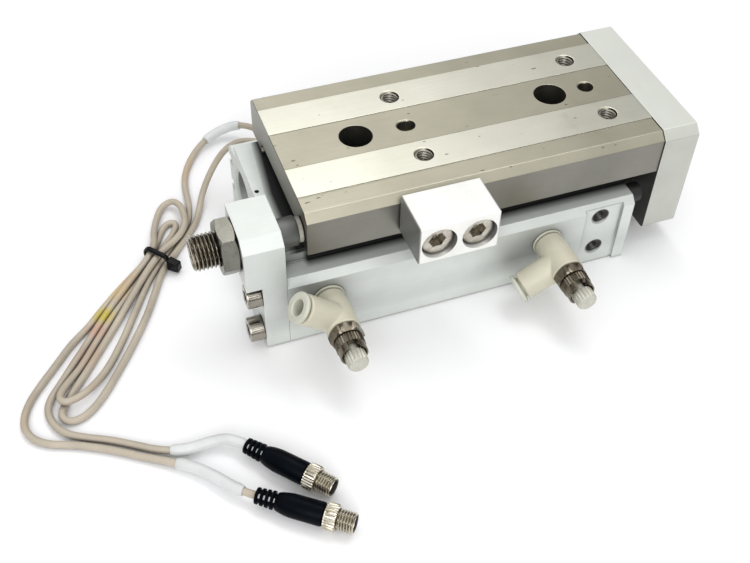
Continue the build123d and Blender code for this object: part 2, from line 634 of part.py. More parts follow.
def make_rod(y):
    """Piston rod, tapped at the end plate."""
    rod = cylinder(ROD_DIAMETER / 2, TABLE_FRONT_X - ROD_REAR_X, (ROD_REAR_X, y, BORE_Z), (1, 0, 0))
    tapped = PLATE_SCREW_LENGTH - PLATE_THICKNESS + PLATE_COUNTERBORE + PAST
    return rod - cylinder(M6[0] / 2 + FIT, tapped, (TABLE_FRONT_X, y, BORE_Z), (-1, 0, 0))


def make_rod_cover(y):
    """Rod bushing with a seal groove near its front end."""
    outer = BORE_RADIUS - FIT
    inner = ROD_DIAMETER / 2 + FIT
    groove = inner + ROD_SEAL_WALL
    groove_end = COVER_LENGTH - ROD_SEAL_FROM_FRONT
    groove_start = groove_end - ROD_SEAL_WIDTH
    return turned([(inner, 0), (outer, 0), (outer, COVER_LENGTH), (inner, COVER_LENGTH),
                   (inner, groove_end), (groove, groove_end), (groove, groove_start),
                   (inner, groove_start)], (COVER_REAR_X, y, BORE_Z), (1, 0, 0))


def make_rod_seal(y):
    """Rod seal in the cover's groove."""
    inner = ROD_DIAMETER / 2 + FIT
    start_x = COVER_FRONT_X - ROD_SEAL_FROM_FRONT - ROD_SEAL_WIDTH + RUNNING
    return ring(inner, inner + ROD_SEAL_WALL - FIT, ROD_SEAL_WIDTH - 2 * RUNNING, (start_x, y, BORE_Z))


def make_snap_ring(x, y):
    """Open retaining ring sprung into the bore's groove."""
    outer = BORE_RADIUS + SNAP_DEPTH - RUNNING
    washer = ring(outer - SNAP_WALL, outer, SNAP_THICKNESS, (x, y, BORE_Z))
    return washer - block(x - PAST, x + SNAP_THICKNESS + PAST, y - SNAP_OPENING / 2,
                          y + SNAP_OPENING / 2, BORE_Z, BORE_Z + BORE_DIAMETER)


def make_holder():
    """L-shaped adjuster holder on the body's rear face."""
    side = [(-HALF_LENGTH, HOLDER_BOTTOM_Z), (-HALF_LENGTH - HOLDER_FOOT_THICK, HOLDER_BOTTOM_Z),
            (-HALF_LENGTH - HOLDER_FOOT_THICK, HOLDER_STEP_Z), (HOLDER_REAR_X, HOLDER_STEP_Z),
            (HOLDER_REAR_X, HOLDER_TOP_Z), (-HALF_LENGTH, HOLDER_TOP_Z)]
    face = make_face(Polyline(*side, close=True))
    holder = extrude(Plane.XZ.offset(-HOLDER_Y0) * face, amount=HOLDER_WIDTH)
    near = HOLDER_Y0 - HOLDER_WIDTH
    holder &= prism_x([(HOLDER_Y0, HOLDER_BOTTOM_Z), (HOLDER_Y0, HOLDER_TOP_Z),
                       (near + HOLDER_CHAMFER, HOLDER_TOP_Z), (near, HOLDER_TOP_Z - HOLDER_CHAMFER),
                       (near, HOLDER_BOTTOM_Z)], HOLDER_REAR_X, -HALF_LENGTH)
    holder -= cylinder(ADJUSTER_THREAD / 2 + FIT, HOLDER_THICK, (HOLDER_REAR_X, HOLDER_Y, ADJUSTER_Z),
                       (1, 0, 0))
    for z in HOLDER_SCREW_Z:
        holder -= cylinder(M6[0] / 2 + MOVING_GAP, HOLDER_THICK, (-HALF_LENGTH, HOLDER_SCREW_Y, z),
                           (-1, 0, 0))
    return holder


def make_adjuster_bolt():
    """Stop bolt through the holder, with a hexagon socket in its rear end."""
    radius = ADJUSTER_THREAD / 2
    nose = ADJUSTER_NOSE / 2
    end = TABLE_REAR_X - MOVING_GAP - CUSHION_THICK - ADJUSTER_END_X
    shoulder = -HALF_LENGTH - ADJUSTER_END_X
    bolt = solid_turned([(radius - ADJUSTER_CHAMFER, 0), (radius, ADJUSTER_CHAMFER),
                         (radius, shoulder - ADJUSTER_CHAMFER), (nose, shoulder), (nose, end)],
                        (ADJUSTER_END_X, HOLDER_Y, ADJUSTER_Z), (1, 0, 0))
    return bolt - hexagon(ADJUSTER_SOCKET, ADJUSTER_SOCKET, (ADJUSTER_END_X, HOLDER_Y, ADJUSTER_Z), (1, 0, 0))


def make_adjuster_nut():
    """Lock nut on the adjuster, chamfered on both faces."""
    turn = math.radians(ADJUSTER_NUT_TURN)
    front_x = HOLDER_REAR_X - MOVING_GAP
    seat = Plane(origin=(front_x, HOLDER_Y, ADJUSTER_Z), z_dir=(-1, 0, 0),
                 x_dir=(0, -math.cos(turn), math.sin(turn)))
    nut = seat * extrude(RegularPolygon(ADJUSTER_NUT_FLATS / 2, 6, major_radius=False),
                         amount=ADJUSTER_NUT_THICK)
    flats = ADJUSTER_NUT_FLATS / 2
    corner = flats / math.cos(math.radians(30))
    edge = (corner - flats) * math.tan(math.radians(30))
    nut &= solid_turned([(flats, 0), (corner, edge), (corner, ADJUSTER_NUT_THICK - edge),
                         (flats, ADJUSTER_NUT_THICK)], seat.origin, (-1, 0, 0))
    return nut - cylinder(ADJUSTER_THREAD / 2 + FIT, ADJUSTER_NUT_THICK, seat.origin, (-1, 0, 0))


def make_sensor(x, z):
    """Position sensor that fills the groove, flush with the body's side."""
    sensor = cylinder(SENSOR_DIAMETER / 2, SENSOR_LENGTH, (x, GROOVE_Y, z), (1, 0, 0))
    sensor += block(x, x + SENSOR_LENGTH, GROOVE_Y, HALF_WIDTH - MOVING_GAP,
                    z - SENSOR_RIB / 2, z + SENSOR_RIB / 2)
    place = (x + SENSOR_LENGTH - SENSOR_SCREW_FROM_FRONT, HALF_WIDTH, z)
    return sensor - cylinder(SENSOR_SCREW / 2 + FIT, SENSOR_SCREW_LENGTH + MOVING_GAP, place, (0, -1, 0))


def make_sensor_screw(x, z):
    """Slotted set screw that clamps a sensor in its groove."""
    place = x + SENSOR_LENGTH - SENSOR_SCREW_FROM_FRONT
    top = HALF_WIDTH - MOVING_GAP
    screw = cylinder(SENSOR_SCREW / 2, SENSOR_SCREW_LENGTH, (place, top, z), (0, -1, 0))
    slot = SENSOR_SCREW / 6
    return screw - block(place - SENSOR_SCREW, place + SENSOR_SCREW, top - 2 * slot, top,
                         z - slot / 2, z + slot / 2)


def port_origin(x):
    """Centre of a port on the body's near side."""
    return Vector(x, -HALF_WIDTH, PORT_Z)


def make_gasket(x):
    """Sealing washer under a speed controller."""
    outline = [(STEM_DIAMETER / 2 + FIT, 0), (GASKET_DIAMETER / 2, 0),
               (GASKET_DIAMETER / 2, GASKET_THICK), (STEM_DIAMETER / 2 + FIT, GASKET_THICK)]
    return turned(outline, port_origin(x), OUTWARD)


def make_stem(x):
    """Hollow stem: shank in the port, hexagon over the elbow and a boss for the lock nut."""
    shank = PORT_DRILL / 2 - FIT
    bearing = STEM_DIAMETER / 2
    boss = BOSS_DIAMETER / 2
    stem = solid_turned([(shank - PORT_CHAMFER, -STEM_SHANK), (shank, PORT_CHAMFER - STEM_SHANK),
                         (shank, 0), (bearing, 0), (bearing, STEM_HEX_OUT), (boss, STEM_HEX_OUT),
                         (boss, BOSS_OUT)], port_origin(x), OUTWARD)
    stem += hexagon(STEM_FLATS, STEM_HEX_LENGTH, port_origin(x) + Vector(*OUTWARD) * STEM_HEX_OUT, OUTWARD)
    throat = THROAT_DIAMETER / 2
    guide = NEEDLE_DIAMETER / 2 + RUNNING
    throat_end = THROAT_OUT + THROAT_LENGTH
    stem -= solid_turned([(AIR_BORE / 2, -STEM_SHANK), (AIR_BORE / 2, THROAT_OUT), (throat, THROAT_OUT),
                          (throat, throat_end), (guide, throat_end), (guide, BOSS_OUT)],
                         port_origin(x), OUTWARD)
    cross = port_origin(x) + Vector(*OUTWARD) * BRANCH_OUT - Vector(STEM_DIAMETER / 2, 0, 0)
    return stem - cylinder(AIR_BORE / 2 - FIT, STEM_DIAMETER, cross, (1, 0, 0))


def branch_place(x, angle):
    """Start and direction of an elbow's tube branch."""
    start = port_origin(x) + Vector(*OUTWARD) * BRANCH_OUT
    turn = math.radians(angle)
    return start, Vector(-math.cos(turn), 0, math.sin(turn))


def make_elbow(x, angle):
    """Moulded elbow that swivels on the stem."""
    start, along = branch_place(x, angle)
    bottom = GASKET_THICK + MOVING_GAP
    top = STEM_HEX_OUT - MOVING_GAP
    elbow = solid_turned([(ELBOW_ROOT / 2, bottom), (ELBOW_SHOULDER / 2, ELBOW_SHOULDER_OUT),
                          (ELBOW_TOP / 2, top)], port_origin(x), OUTWARD)
    branch = BRANCH_DIAMETER / 2
    elbow += solid_turned([(branch, 0), (branch, BRANCH_LENGTH - BRANCH_EDGE),
                           (branch - BRANCH_EDGE, BRANCH_LENGTH)], start, along)
    elbow -= cylinder(STEM_DIAMETER / 2 + RUNNING, STEM_HEX_OUT, port_origin(x), OUTWARD)
    elbow -= cylinder(AIR_BORE / 2, BRANCH_LENGTH, start, along)
    bore = TUBE_DIAMETER / 2 + COLLAR_SLEEVE_WALL + 2 * RUNNING
    return elbow - cylinder(bore, TUBE_BORE_DEPTH, start + along * BRANCH_LENGTH, along * -1)


def make_collar(x, angle):
    """Release collar that slides in the branch round the tube."""
    start, along = branch_place(x, angle)
    inner = TUBE_DIAMETER / 2 + RUNNING
    sleeve = inner + COLLAR_SLEEVE_WALL
    outer = COLLAR_DIAMETER / 2
    flange = BRANCH_LENGTH + COLLAR_TRAVEL + RUNNING
    top = flange + COLLAR_THICK
    return turned([(inner, flange - COLLAR_SLEEVE), (sleeve, flange - COLLAR_SLEEVE), (sleeve, flange),
                   (outer - COLLAR_EDGE, flange), (outer, flange + COLLAR_EDGE),
                   (outer, top - COLLAR_EDGE), (outer - COLLAR_EDGE, top), (inner + COLLAR_EDGE, top),
                   (inner, top - COLLAR_EDGE)], start, along)


def make_lock_nut(x):
    """Ribbed lock nut with two prongs round the needle's knob."""
    foot = STEM_HEX_OUT + STEM_HEX_LENGTH + MOVING_GAP
    start = port_origin(x) + Vector(*OUTWARD) * foot
    outer = LOCK_DIAMETER / 2
    prong = KNOB_DIAMETER / 2 + MOVING_GAP
    nut = ribbed(LOCK_DIAMETER, RIB_DEPTH, LOCK_TEETH, LOCK_RING, start, OUTWARD)
    nut -= cylinder(BOSS_DIAMETER / 2 + RUNNING, LOCK_RING, start, OUTWARD)
    top = LOCK_RING + LOCK_PRONG
    prongs = turned([(prong, LOCK_RING), (outer - RIB_DEPTH, LOCK_RING), (outer - RIB_DEPTH, top),
                     (prong, top)], start, OUTWARD)
    slot = Plane(origin=start, z_dir=OUTWARD) * Pos(0, 0, LOCK_RING + LOCK_DIAMETER / 2)
    prongs -= slot * Box(LOCK_DIAMETER, LOCK_SLOT, LOCK_DIAMETER)
    return nut + prongs


def make_knob(x):
    """Needle with its ribbed knob."""
    needle = NEEDLE_DIAMETER / 2
    tip = NEEDLE_TIP / 2
    seat = THROAT_OUT + THROAT_LENGTH
    stem = solid_turned([(tip, THROAT_OUT + NEEDLE_TIP_GAP), (tip, seat), (needle, seat + NEEDLE_CONE),
                         (needle, KNOB_OUT)], port_origin(x), OUTWARD)
    start = port_origin(x) + Vector(*OUTWARD) * KNOB_OUT
    grip = ribbed(KNOB_DIAMETER, RIB_DEPTH, KNOB_RIBS, KNOB_LENGTH - RIB_DEPTH, start, OUTWARD)
    cap = cylinder(KNOB_DIAMETER / 2 - 2 * RIB_DEPTH, KNOB_LENGTH, start, OUTWARD)
    return stem + grip + cap


def on_hank(s, t):
    """A point of the hank's own frame, on the floor."""
    return (TIE_AT[0] + s * TIE_ALONG[0] + t * TIE_ACROSS[0],
            TIE_AT[1] + s * TIE_ALONG[1] + t * TIE_ACROSS[1])


def make_hank():
    """Outer shape of the looped leads, waisted at the tie, with a flat face for each lead."""
    a_upper, b_upper, a_lower, b_lower = HANK_CORD_T
    margin = CORD_DIAMETER / 2
    neck = TIE_NOTCH / 2
    outline = [(-neck, HANK_WAIST), (neck, HANK_WAIST), (HANK_STEP_A, a_lower + margin),
               (HANK_STEP_A, a_lower - margin), (HANK_STEP_B, b_lower + margin),
               (HANK_STEP_B, b_lower - margin)]
    outline += HANK_TAIL
    outline += [(neck, -HANK_WAIST), (-neck, -HANK_WAIST), (HANK_UPPER_FACE, b_upper - margin),
                (HANK_UPPER_FACE, a_upper + margin)]
    outline += reversed(HANK_LOBE)
    points = [on_hank(s, t) for s, t in outline]
    hank = extrude(make_face(Polyline(*points, close=True)), amount=HANK_HEIGHT)
    frame = Plane(origin=(*TIE_AT, 0), x_dir=(*TIE_ALONG, 0), z_dir=(0, 0, 1))
    return hank - frame * Box(TIE_NOTCH, 4 * HANK_WAIST, 2 * (TIE_WALL + 2 * FIT))


def make_cable_tie():
    """Tie round the hank's waist, with its head at one side."""
    frame = Plane(origin=(*TIE_AT, 0), x_dir=(*TIE_ALONG, 0), z_dir=(0, 0, 1))
    half = HANK_WAIST + 2 * FIT
    bottom = TIE_WALL + FIT
    top = HANK_HEIGHT + FIT
    outer = Pos(0, 0, (top + TIE_WALL + FIT) / 2) * Box(TIE_WIDTH, 2 * (half + TIE_WALL),
                                                         top + TIE_WALL - FIT)
    inner = Pos(0, 0, (bottom + top) / 2) * Box(2 * TIE_WIDTH, 2 * half, top - bottom)
    rounded = fillet(outer.edges().filter_by(Axis.X), TIE_WALL)
    length, height = TIE_HEAD
    head_at = Pos(0, half + TIE_WALL + length / 2 - FIT, (bottom + top) / 2)
    head = head_at * Box(TIE_WIDTH + TIE_HEAD_PROUD, length, height)
    return frame * (rounded - inner + head)


def connector_place(index):
    """Start and direction of a lead connector, which lies with its ring on the floor."""
    turn = math.radians(CONNECTOR_HEADING[index])
    return Vector(*CONNECTOR_START[index], RING_DIAMETER / 2), Vector(math.cos(turn), math.sin(turn), 0)


def make_boot(index):
    """Moulded boot with a ribbed strain relief."""
    start, along = connector_place(index)
    tail = BOOT_TAIL / 2
    outline = []
    for i in range(BOOT_RIB_COUNT):
        h = i * BOOT_RIB_PITCH
        outline += [(tail + BOOT_RIB, h), (tail + BOOT_RIB, h + BOOT_RIB_PITCH / 2),
                    (tail, h + BOOT_RIB_PITCH / 2), (tail, h + BOOT_RIB_PITCH)]
    body = BOOT_DIAMETER / 2
    outline += [(body, BOOT_TAPER_END), (body, BOOT_LENGTH - BOOT_RIB), (body - BOOT_RIB, BOOT_LENGTH)]
    return solid_turned(outline, start, along)


def make_coupling_ring(index):
    """Knurled ring with the sleeve that screws into the mating connector."""
    start, along = connector_place(index)
    foot = start + along * (BOOT_LENGTH + MOVING_GAP)
    coupling = ribbed(RING_DIAMETER, RIB_DEPTH, RING_TEETH, RING_LENGTH, foot, along)
    coupling += cylinder(PLUG_DIAMETER / 2, PLUG_LENGTH, foot + along * RING_LENGTH, along)
    return coupling - cylinder(INSERT_DIAMETER / 2 + RUNNING, RING_LENGTH + PLUG_LENGTH, foot, along)


def make_insert(index):
    """Contact carrier inside the ring, with its contacts in a shallow cup."""
    start, along = connector_place(index)
    foot = start + along * BOOT_LENGTH
    length = MOVING_GAP + RING_LENGTH + PLUG_LENGTH
    radius = INSERT_DIAMETER / 2
    cup = radius - INSERT_CUP_WALL
    base = length - INSERT_CUP_DEPTH
    insert = solid_turned([(radius, 0), (radius, length), (cup, length), (cup, base)], foot, along)
    face = Plane(origin=foot + along * base, z_dir=along)
    for contact in PolarLocations(CONTACT_CIRCLE / 2, CONTACT_COUNT):
        pin = Cylinder(CONTACT_DIAMETER / 2, INSERT_CUP_DEPTH - CONTACT_DROP,
                       align=(Align.CENTER, Align.CENTER, Align.MIN))
        insert += face * contact * pin
    return insert


def lead_route(points):
    """Path of straight runs and tangent arcs through hand-picked points, and its radii."""
    spots = [Vector(*p) for p in points]
    radii = []
    for a, b, c in zip(spots, spots[1:], spots[2:]):
        turn = math.radians((b - a).get_angle(c - b))
        radii.append(0.45 * min((b - a).length, (c - b).length) / math.tan(turn / 2))
    return FilletPolyline(*points, radius=radii), radii


def make_lead(name, points):
    """Round lead along its route; its volume is compared with section times length."""
    path, radii = lead_route(points)
    start = Plane(origin=path @ 0, z_dir=path % 0)
    lead = sweep(start * Circle(CORD_DIAMETER / 2), path=path)
    expected = math.pi * (CORD_DIAMETER / 2) ** 2 * path.length
    print(name, "length", round(path.length, 1), "volume ratio", round(lead.volume / expected, 4),
          "smallest radius", round(min(radii), 1), "radii", [round(r) for r in radii])
    return lead


def make_sleeve(points, first, last):
    """Marker sleeve over some runs of a lead."""
    path, _ = lead_route(points)
    stretch = Wire(path.edges()[2 * int(first):2 * int(last) + 1])
    start = Plane(origin=stretch @ 0, z_dir=stretch % 0)
    section = Circle(SLEEVE_DIAMETER / 2) - Circle(CORD_DIAMETER / 2 + FIT)
    return sweep(start * section, path=stretch)


def sensor_end(index):
    """First two points of a lead, straight out of its sensor along the groove."""
    x, z = SENSOR_REAR_X[index], GROOVE_Z[index]
    return [(x, GROOVE_Y, z), (x - LEAD_END_RUN, GROOVE_Y, z)]


def hank_end(s, t, away):
    """Two points square to a face of the hank, the first on the face."""
    return [(*on_hank(s, t), LEAD_FLOOR_Z), (*on_hank(s + away * LEAD_END_RUN, t), LEAD_FLOOR_Z)]


def boot_end(index):
    """Last two points of a lead, straight into its connector's boot."""
    start, along = connector_place(index)
    return [tuple(start - along * LEAD_END_RUN), tuple(start)]


def lead_points():
    """Full routes, each with a straight run at either end."""
    a_upper, b_upper, a_lower, b_lower = HANK_CORD_T
    return {
        "a_upper": sensor_end(0) + LEAD_A_UPPER + hank_end(HANK_UPPER_FACE, a_upper, -1)[::-1],
        "b_upper": sensor_end(1) + LEAD_B_UPPER + hank_end(HANK_UPPER_FACE, b_upper, -1)[::-1],
        "a_lower": hank_end(HANK_STEP_A, a_lower, 1) + LEAD_A_LOWER + boot_end(0),
        "b_lower": hank_end(HANK_STEP_B, b_lower, 1) + LEAD_B_LOWER + boot_end(1),
    }


def plate_screw(y, z):
    """Screw through the end plate."""
    seat = (PLATE_FRONT_X - PLATE_COUNTERBORE, y, z)
    return socket_screw(M6, PLATE_SCREW_LENGTH, seat, (1, 0, 0))


def build_fixed():
    """Everything that stays with the body."""
    save(make_body(), "body_extrusion")
    save(make_rail(), "guide_rail")
    rail_seat = RAIL_TOP_Z - RAIL_COUNTERBORE
    save(group([socket_screw(M5, RAIL_SCREW_LENGTH, (x, 0, rail_seat), (0, 0, 1))
                for x in RAIL_SCREW_X]), "rail_screws")
    for side, y in BORE_Y.items():
        cap = cylinder(BORE_RADIUS - FIT, HEAD_THICKNESS, (CAP_REAR_X, y, BORE_Z), (1, 0, 0))
        save(cap, "head_cap_" + side)
        save(make_rod_cover(y), "rod_cover_" + side)
    save(group([make_rod_seal(y) for y in BORE_Y.values()]), "rod_seals")
    save(group([make_snap_ring(x, y) for x in SNAP_X for y in BORE_Y.values()]), "snap_rings")
    save(group([cylinder(BUMPER_DIAMETER / 2, BUMPER_LENGTH, (HALF_LENGTH, side * BUMPER_Y, BUMPER_Z),
                         (1, 0, 0)) for side in SIGN.values()]), "front_bumpers")
    save(make_holder(), "adjuster_holder")
    holder_seat = -HALF_LENGTH - HOLDER_FOOT_THICK
    save(group([socket_screw(M6, HOLDER_FOOT_THICK + HOLDER_SCREW_GRIP,
                             (holder_seat, HOLDER_SCREW_Y, z), (-1, 0, 0)) for z in HOLDER_SCREW_Z]),
         "adjuster_holder_screws")
    places = list(zip(("a", "b"), SENSOR_REAR_X, GROOVE_Z))
    for name, x, z in places:
        save(make_sensor(x, z), "sensor_" + name)
    save(group([make_sensor_screw(x, z) for _, x, z in places]), "sensor_screws")
    save(group([make_gasket(x) for x in PORT_X]), "port_gaskets")


def build_adjuster():
    """Stop bolt, its cushion and its lock nut."""
    save(make_adjuster_bolt(), "adjuster_bolt")
    cushion_x = TABLE_REAR_X - MOVING_GAP - CUSHION_THICK
    save(cylinder(CUSHION_DIAMETER / 2, CUSHION_THICK, (cushion_x, HOLDER_Y, ADJUSTER_Z), (1, 0, 0)),
         "adjuster_cushion")
    save(make_adjuster_nut(), "adjuster_nut")


def build_moving():
    """Everything that travels with the table, and the roller cages."""
    save(make_table(), "slide_table")
    save(make_end_plate(), "end_plate")
    save(group([plate_screw(y, PLATE_SCREW_Z) for y in PLATE_SCREW_Y]), "end_plate_screws")
    save(group([plate_screw(y, BORE_Z) for y in BORE_Y.values()]), "rod_screws")
    save(make_stop_block(), "stop_block")
    block_seat = -TABLE_HALF - BLOCK_OUT + BLOCK_COUNTERBORE
    save(group([socket_screw(M8, BLOCK_SCREW_LENGTH, (x, block_seat, BLOCK_SCREW_Z), OUTWARD)
                for x in BLOCK_SCREW_X]), "stop_block_screws")
    for side, y in BORE_Y.items():
        save(make_rod(y), "piston_rod_" + side)
        save(make_piston(y), "piston_" + side)
        save(make_cage(SIGN[side]), "roller_cage_" + side)
        save(make_rollers(SIGN[side]), "rollers_" + side)
    save(group([make_piston_seal(y) for y in BORE_Y.values()]), "piston_seals")
    save(group([make_magnet(y) for y in BORE_Y.values()]), "piston_magnets")


def build_speed_controllers():
    """The two elbow speed controllers."""
    for name, x, angle in zip(("rear", "front"), PORT_X, SWIVEL_ANGLES):
        save(make_stem(x), "controller_stem_" + name)
        save(make_elbow(x, angle), "controller_elbow_" + name)
        save(make_collar(x, angle), "release_collar_" + name)
        save(make_lock_nut(x), "needle_lock_nut_" + name)
        save(make_knob(x), "needle_knob_" + name)


def build_leads():
    """Leads, their hank, sleeves, tie and connectors."""
    routes = lead_points()
    for name, points in routes.items():
        save(make_lead("lead_" + name, points), "lead_" + name)
    save(group([make_sleeve(routes[name], *runs) for name, runs in SLEEVE_RUN_COUNT.items()]), "lead_sleeves")
    save(make_hank(), "lead_hank")
    save(make_cable_tie(), "cable_tie")
    for index, name in enumerate(("a", "b")):
        save(make_boot(index), "connector_boot_" + name)
        save(make_coupling_ring(index), "coupling_ring_" + name)
        save(make_insert(index), "connector_insert_" + name)


build_fixed()
build_adjuster()
build_moving()
build_speed_controllers()
build_leads()
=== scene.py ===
"""Looks of a twin-rod slide table: stroke stop, speed controllers and tied sensor leads."""
from math import cos, exp, pi, radians, sin

import bpy
from mathutils import Matrix, Vector


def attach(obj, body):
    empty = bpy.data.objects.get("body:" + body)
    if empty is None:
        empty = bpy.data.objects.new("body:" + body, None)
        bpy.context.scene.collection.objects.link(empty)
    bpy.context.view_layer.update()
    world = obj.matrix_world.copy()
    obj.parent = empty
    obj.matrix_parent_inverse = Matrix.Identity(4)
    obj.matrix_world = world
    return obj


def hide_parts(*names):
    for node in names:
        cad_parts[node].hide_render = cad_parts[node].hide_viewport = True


bl_info = {
    "name": "Slide Table Looks",
    "version": (1, 0, 0),
    "blender": (4, 5, 0),
    "location": "View3D > Sidebar > Slide Table",
    "description": "Finishes, threads, leads and stage for a packed slide table",
    "category": "Object",
}

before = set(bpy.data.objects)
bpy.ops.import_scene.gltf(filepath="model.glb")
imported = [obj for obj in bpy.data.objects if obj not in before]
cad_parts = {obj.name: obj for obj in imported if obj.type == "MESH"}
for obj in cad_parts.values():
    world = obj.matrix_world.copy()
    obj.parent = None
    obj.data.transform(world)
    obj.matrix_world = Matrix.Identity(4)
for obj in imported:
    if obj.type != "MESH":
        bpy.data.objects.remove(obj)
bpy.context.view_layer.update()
MM = 0.001
BODY = "cylinder_body"

# Places in the part's own millimetres, as its source gives them
PORT_X = (-58.6, 35.8)
PORT_Y = -44.45
PORT_Z = 21.0
SWIVEL = (39.0, -29.0)
STOP_AXIS_Y = -31.75
STOP_AXIS_Z = 48.2
STOP_REAR_X = -107.4
STOP_SHOULDER_X = -74.8
STOP_FRONT_X = -67.1
TABLE_TAPS_X = (-10.8, 69.8)
TABLE_TAPS_Y = (-19.2, 19.2)
TABLE_TOP_Z = 60.0
PAD_HOLE = (60.0, -43.25)
PAD_HOLES_Z = (9.2, 26.5)
BLOCK_SCREWS_X = (-20.1, -3.9)
BLOCK_SEAT_Y = -49.32
BLOCK_SCREW_Z = 51.6
PLATE_SEAT_X = 94.5
PLATE_SCREWS_Y = (-31.5, -12.0, 12.0, 31.5)
PLATE_SCREW_Z = 53.0
RODS_Y = (-22.0, 22.0)
ROD_Z = 19.0
HOLDER_SEAT_X = -84.4
HOLDER_SCREW_Y = -39.4
HOLDER_SCREWS_Z = (7.6, 27.0)
PLATE_TAPS = ((-28.0, 27.0), (28.0, 27.0), (-28.0, 43.0), (28.0, 43.0))
PLATE_FRONT_X = 101.5

# Tie, and the frame that the turns of the leads are given in: along, across, height
TIE_AT = (-115.5, 15.5)
TIE_HEADING = radians(-130.6)
TIE_ALONG = (cos(TIE_HEADING), sin(TIE_HEADING))
TIE_ACROSS = (TIE_ALONG[1], -TIE_ALONG[0])

LEAD_A_UPPER = [
    (-26.0, 41.75, 11.5), (-33.0, 41.75, 11.5), (-42.5, 48.5, 11.5), (-48.0, 60.0, 11.0),
    (-51.5, 71.5, 10.0), (-55.5, 81.0, 9.0), (-61.9, 87.5, 7.0), (-69.6, 88.3, 5.0),
    (-77.9, 85.2, 3.5), (-85.5, 78.1, 2.4), (-91.7, 67.9, 1.6), (-94.3, 57.7, 1.6),
    (-94.9, 46.5, 1.6), (-97.67, 34.46, 1.6)]
LEAD_B_UPPER = [
    (-44.0, 41.75, 25.5), (-51.0, 41.75, 25.5), (-59.5, 49.5, 25.5), (-67.5, 53.7, 25.0),
    (-74.0, 54.3, 22.0), (-79.5, 54.0, 15.5), (-85.0, 51.5, 8.0), (-89.0, 46.6, 3.4),
    (-91.8, 40.0, 1.6), (-95.31, 32.44, 1.6)]
TURNS_A = [
    (-19, -1.2, 1.6), (-12, -1.3, 1.6), (-5, -1.5, 1.6), (3, -1.5, 1.6), (11, -2.0, 1.6),
    (20, -3.6, 1.6), (30, -5.6, 1.6), (44, -8.4, 1.6), (58, -10.3, 1.7), (67, -10.2, 2.6),
    (74.5, -9.2, 4.0), (79.5, -6.6, 4.7), (80.5, -3.4, 4.7), (77.0, -1.0, 4.2), (70.0, -0.3, 2.7),
    (62, -0.3, 1.6), (50, 0.7, 1.6), (36, 1.7, 1.6), (22, 1.7, 1.6), (11, 1.6, 1.6),
    (3, 1.5, 1.6), (-4, 1.5, 1.6), (-11, 1.6, 1.6), (-16.5, 1.8, 1.6), (-21.5, 2.6, 1.6),
    (-23.5, 5.0, 1.6), (-21.0, 7.5, 1.6), (-15.5, 7.2, 1.6), (-10, 5.6, 1.6), (-4, 4.6, 1.6),
    (3, 4.5, 1.6), (11, 5.4, 1.6), (22, 6.8, 1.6), (36, 7.7, 1.6), (43, 7.7, 1.6)]
TURNS_B = [
    (-19, -4.3, 1.6), (-12, -4.4, 1.6), (-5, -4.5, 1.6), (3, -4.6, 1.6), (9, -5.6, 1.6),
    (16, -7.6, 1.6), (30, -11.1, 1.6), (46, -13.4, 1.6), (58, -14.6, 1.6), (68, -15.4, 1.6),
    (77, -15.2, 1.6), (83.5, -13.0, 1.6), (86.0, -9.0, 1.6), (84.0, -5.0, 1.6), (77, -3.8, 1.6),
    (64, -3.5, 1.6), (51, -2.7, 1.6), (38, -1.8, 1.8), (27, -1.2, 2.8), (16, -0.5, 3.8),
    (6, -0.1, 4.3), (-3, -0.3, 4.4), (-8, -1.6, 4.5), (-13, -2.8, 4.6), (-20, -2.6, 4.7),
    (-26.5, 0.8, 4.6), (-32.2, 6.2, 4.3), (-34.0, 11.4, 3.4), (-29.5, 14.6, 2.2),
    (-20.5, 12.2, 2.2), (-12.5, 8.7, 3.6), (-6, 4.6, 4.3), (2, 3.0, 4.3), (11, 3.4, 4.1),
    (22, 4.2, 3.3), (36, 4.7, 1.8), (50, 3.9, 1.6), (62, 3.3, 1.6), (72, 2.6, 1.6), (79, 2.4, 1.6)]
LEAD_A_LOWER = [
    (-157.5, -19.0, 1.6), (-164.3, -27.3, 1.6), (-171.3, -35.3, 1.6), (-177.3, -43.2, 1.6),
    (-180.2, -51.5, 1.6), (-178.4, -58.6, 1.6), (-172.9, -63.4, 1.6), (-165.3, -66.1, 1.6),
    (-157.3, -69.9, 1.6), (-149.3, -74.6, 1.6), (-141.0, -80.2, 1.7), (-132.6, -85.7, 2.4),
    (-124.7, -91.2, 2.9), (-118.4, -98.4, 3.7), (-112.88, -106.77, 4.9), (-107.3, -111.0, 4.9)]
LEAD_B_LOWER = [
    (-170.9, -48.6, 1.6), (-169.6, -55.6, 1.6), (-165.6, -61.2, 1.6), (-159.0, -65.1, 1.6),
    (-151.2, -68.8, 1.6), (-143.6, -73.6, 1.6), (-134.9, -80.0, 2.5), (-126.0, -83.0, 2.8),
    (-117.4, -83.2, 3.8), (-109.65, -84.57, 4.9), (-105.0, -89.8, 4.9)]
CONNECTORS = {"a": ((-107.3, -111.0), -37.2), "b": ((-105.0, -89.8), -48.4)}
CONNECTOR_Z = 4.9

# Stains on the leads: place, reach, colour and strength
LEAD_STAINS = (
    ((-130.3, 9.4, 4.0), 7.0, (0.60, 0.42, 0.24), 0.6),
    ((-135.8, 3.3, 3.0), 8.0, (0.62, 0.44, 0.22), 0.75),
    ((-142.8, -8.8, 3.0), 6.0, (0.50, 0.40, 0.04), 0.9),
    ((-146.5, -15.9, 3.0), 5.5, (0.52, 0.30, 0.22), 0.75),
    ((-152.0, -28.0, 2.0), 9.0, (0.44, 0.30, 0.22), 0.5))

# Studio brightness by height, and the direction of the darker side that the table mirrors
STUDIO_STOPS = ((0.0, 0.05), (0.22, 0.10), (0.50, 0.80), (0.85, 1.0))
DIM_SIDE = (0.68, 0.54, 0.50)

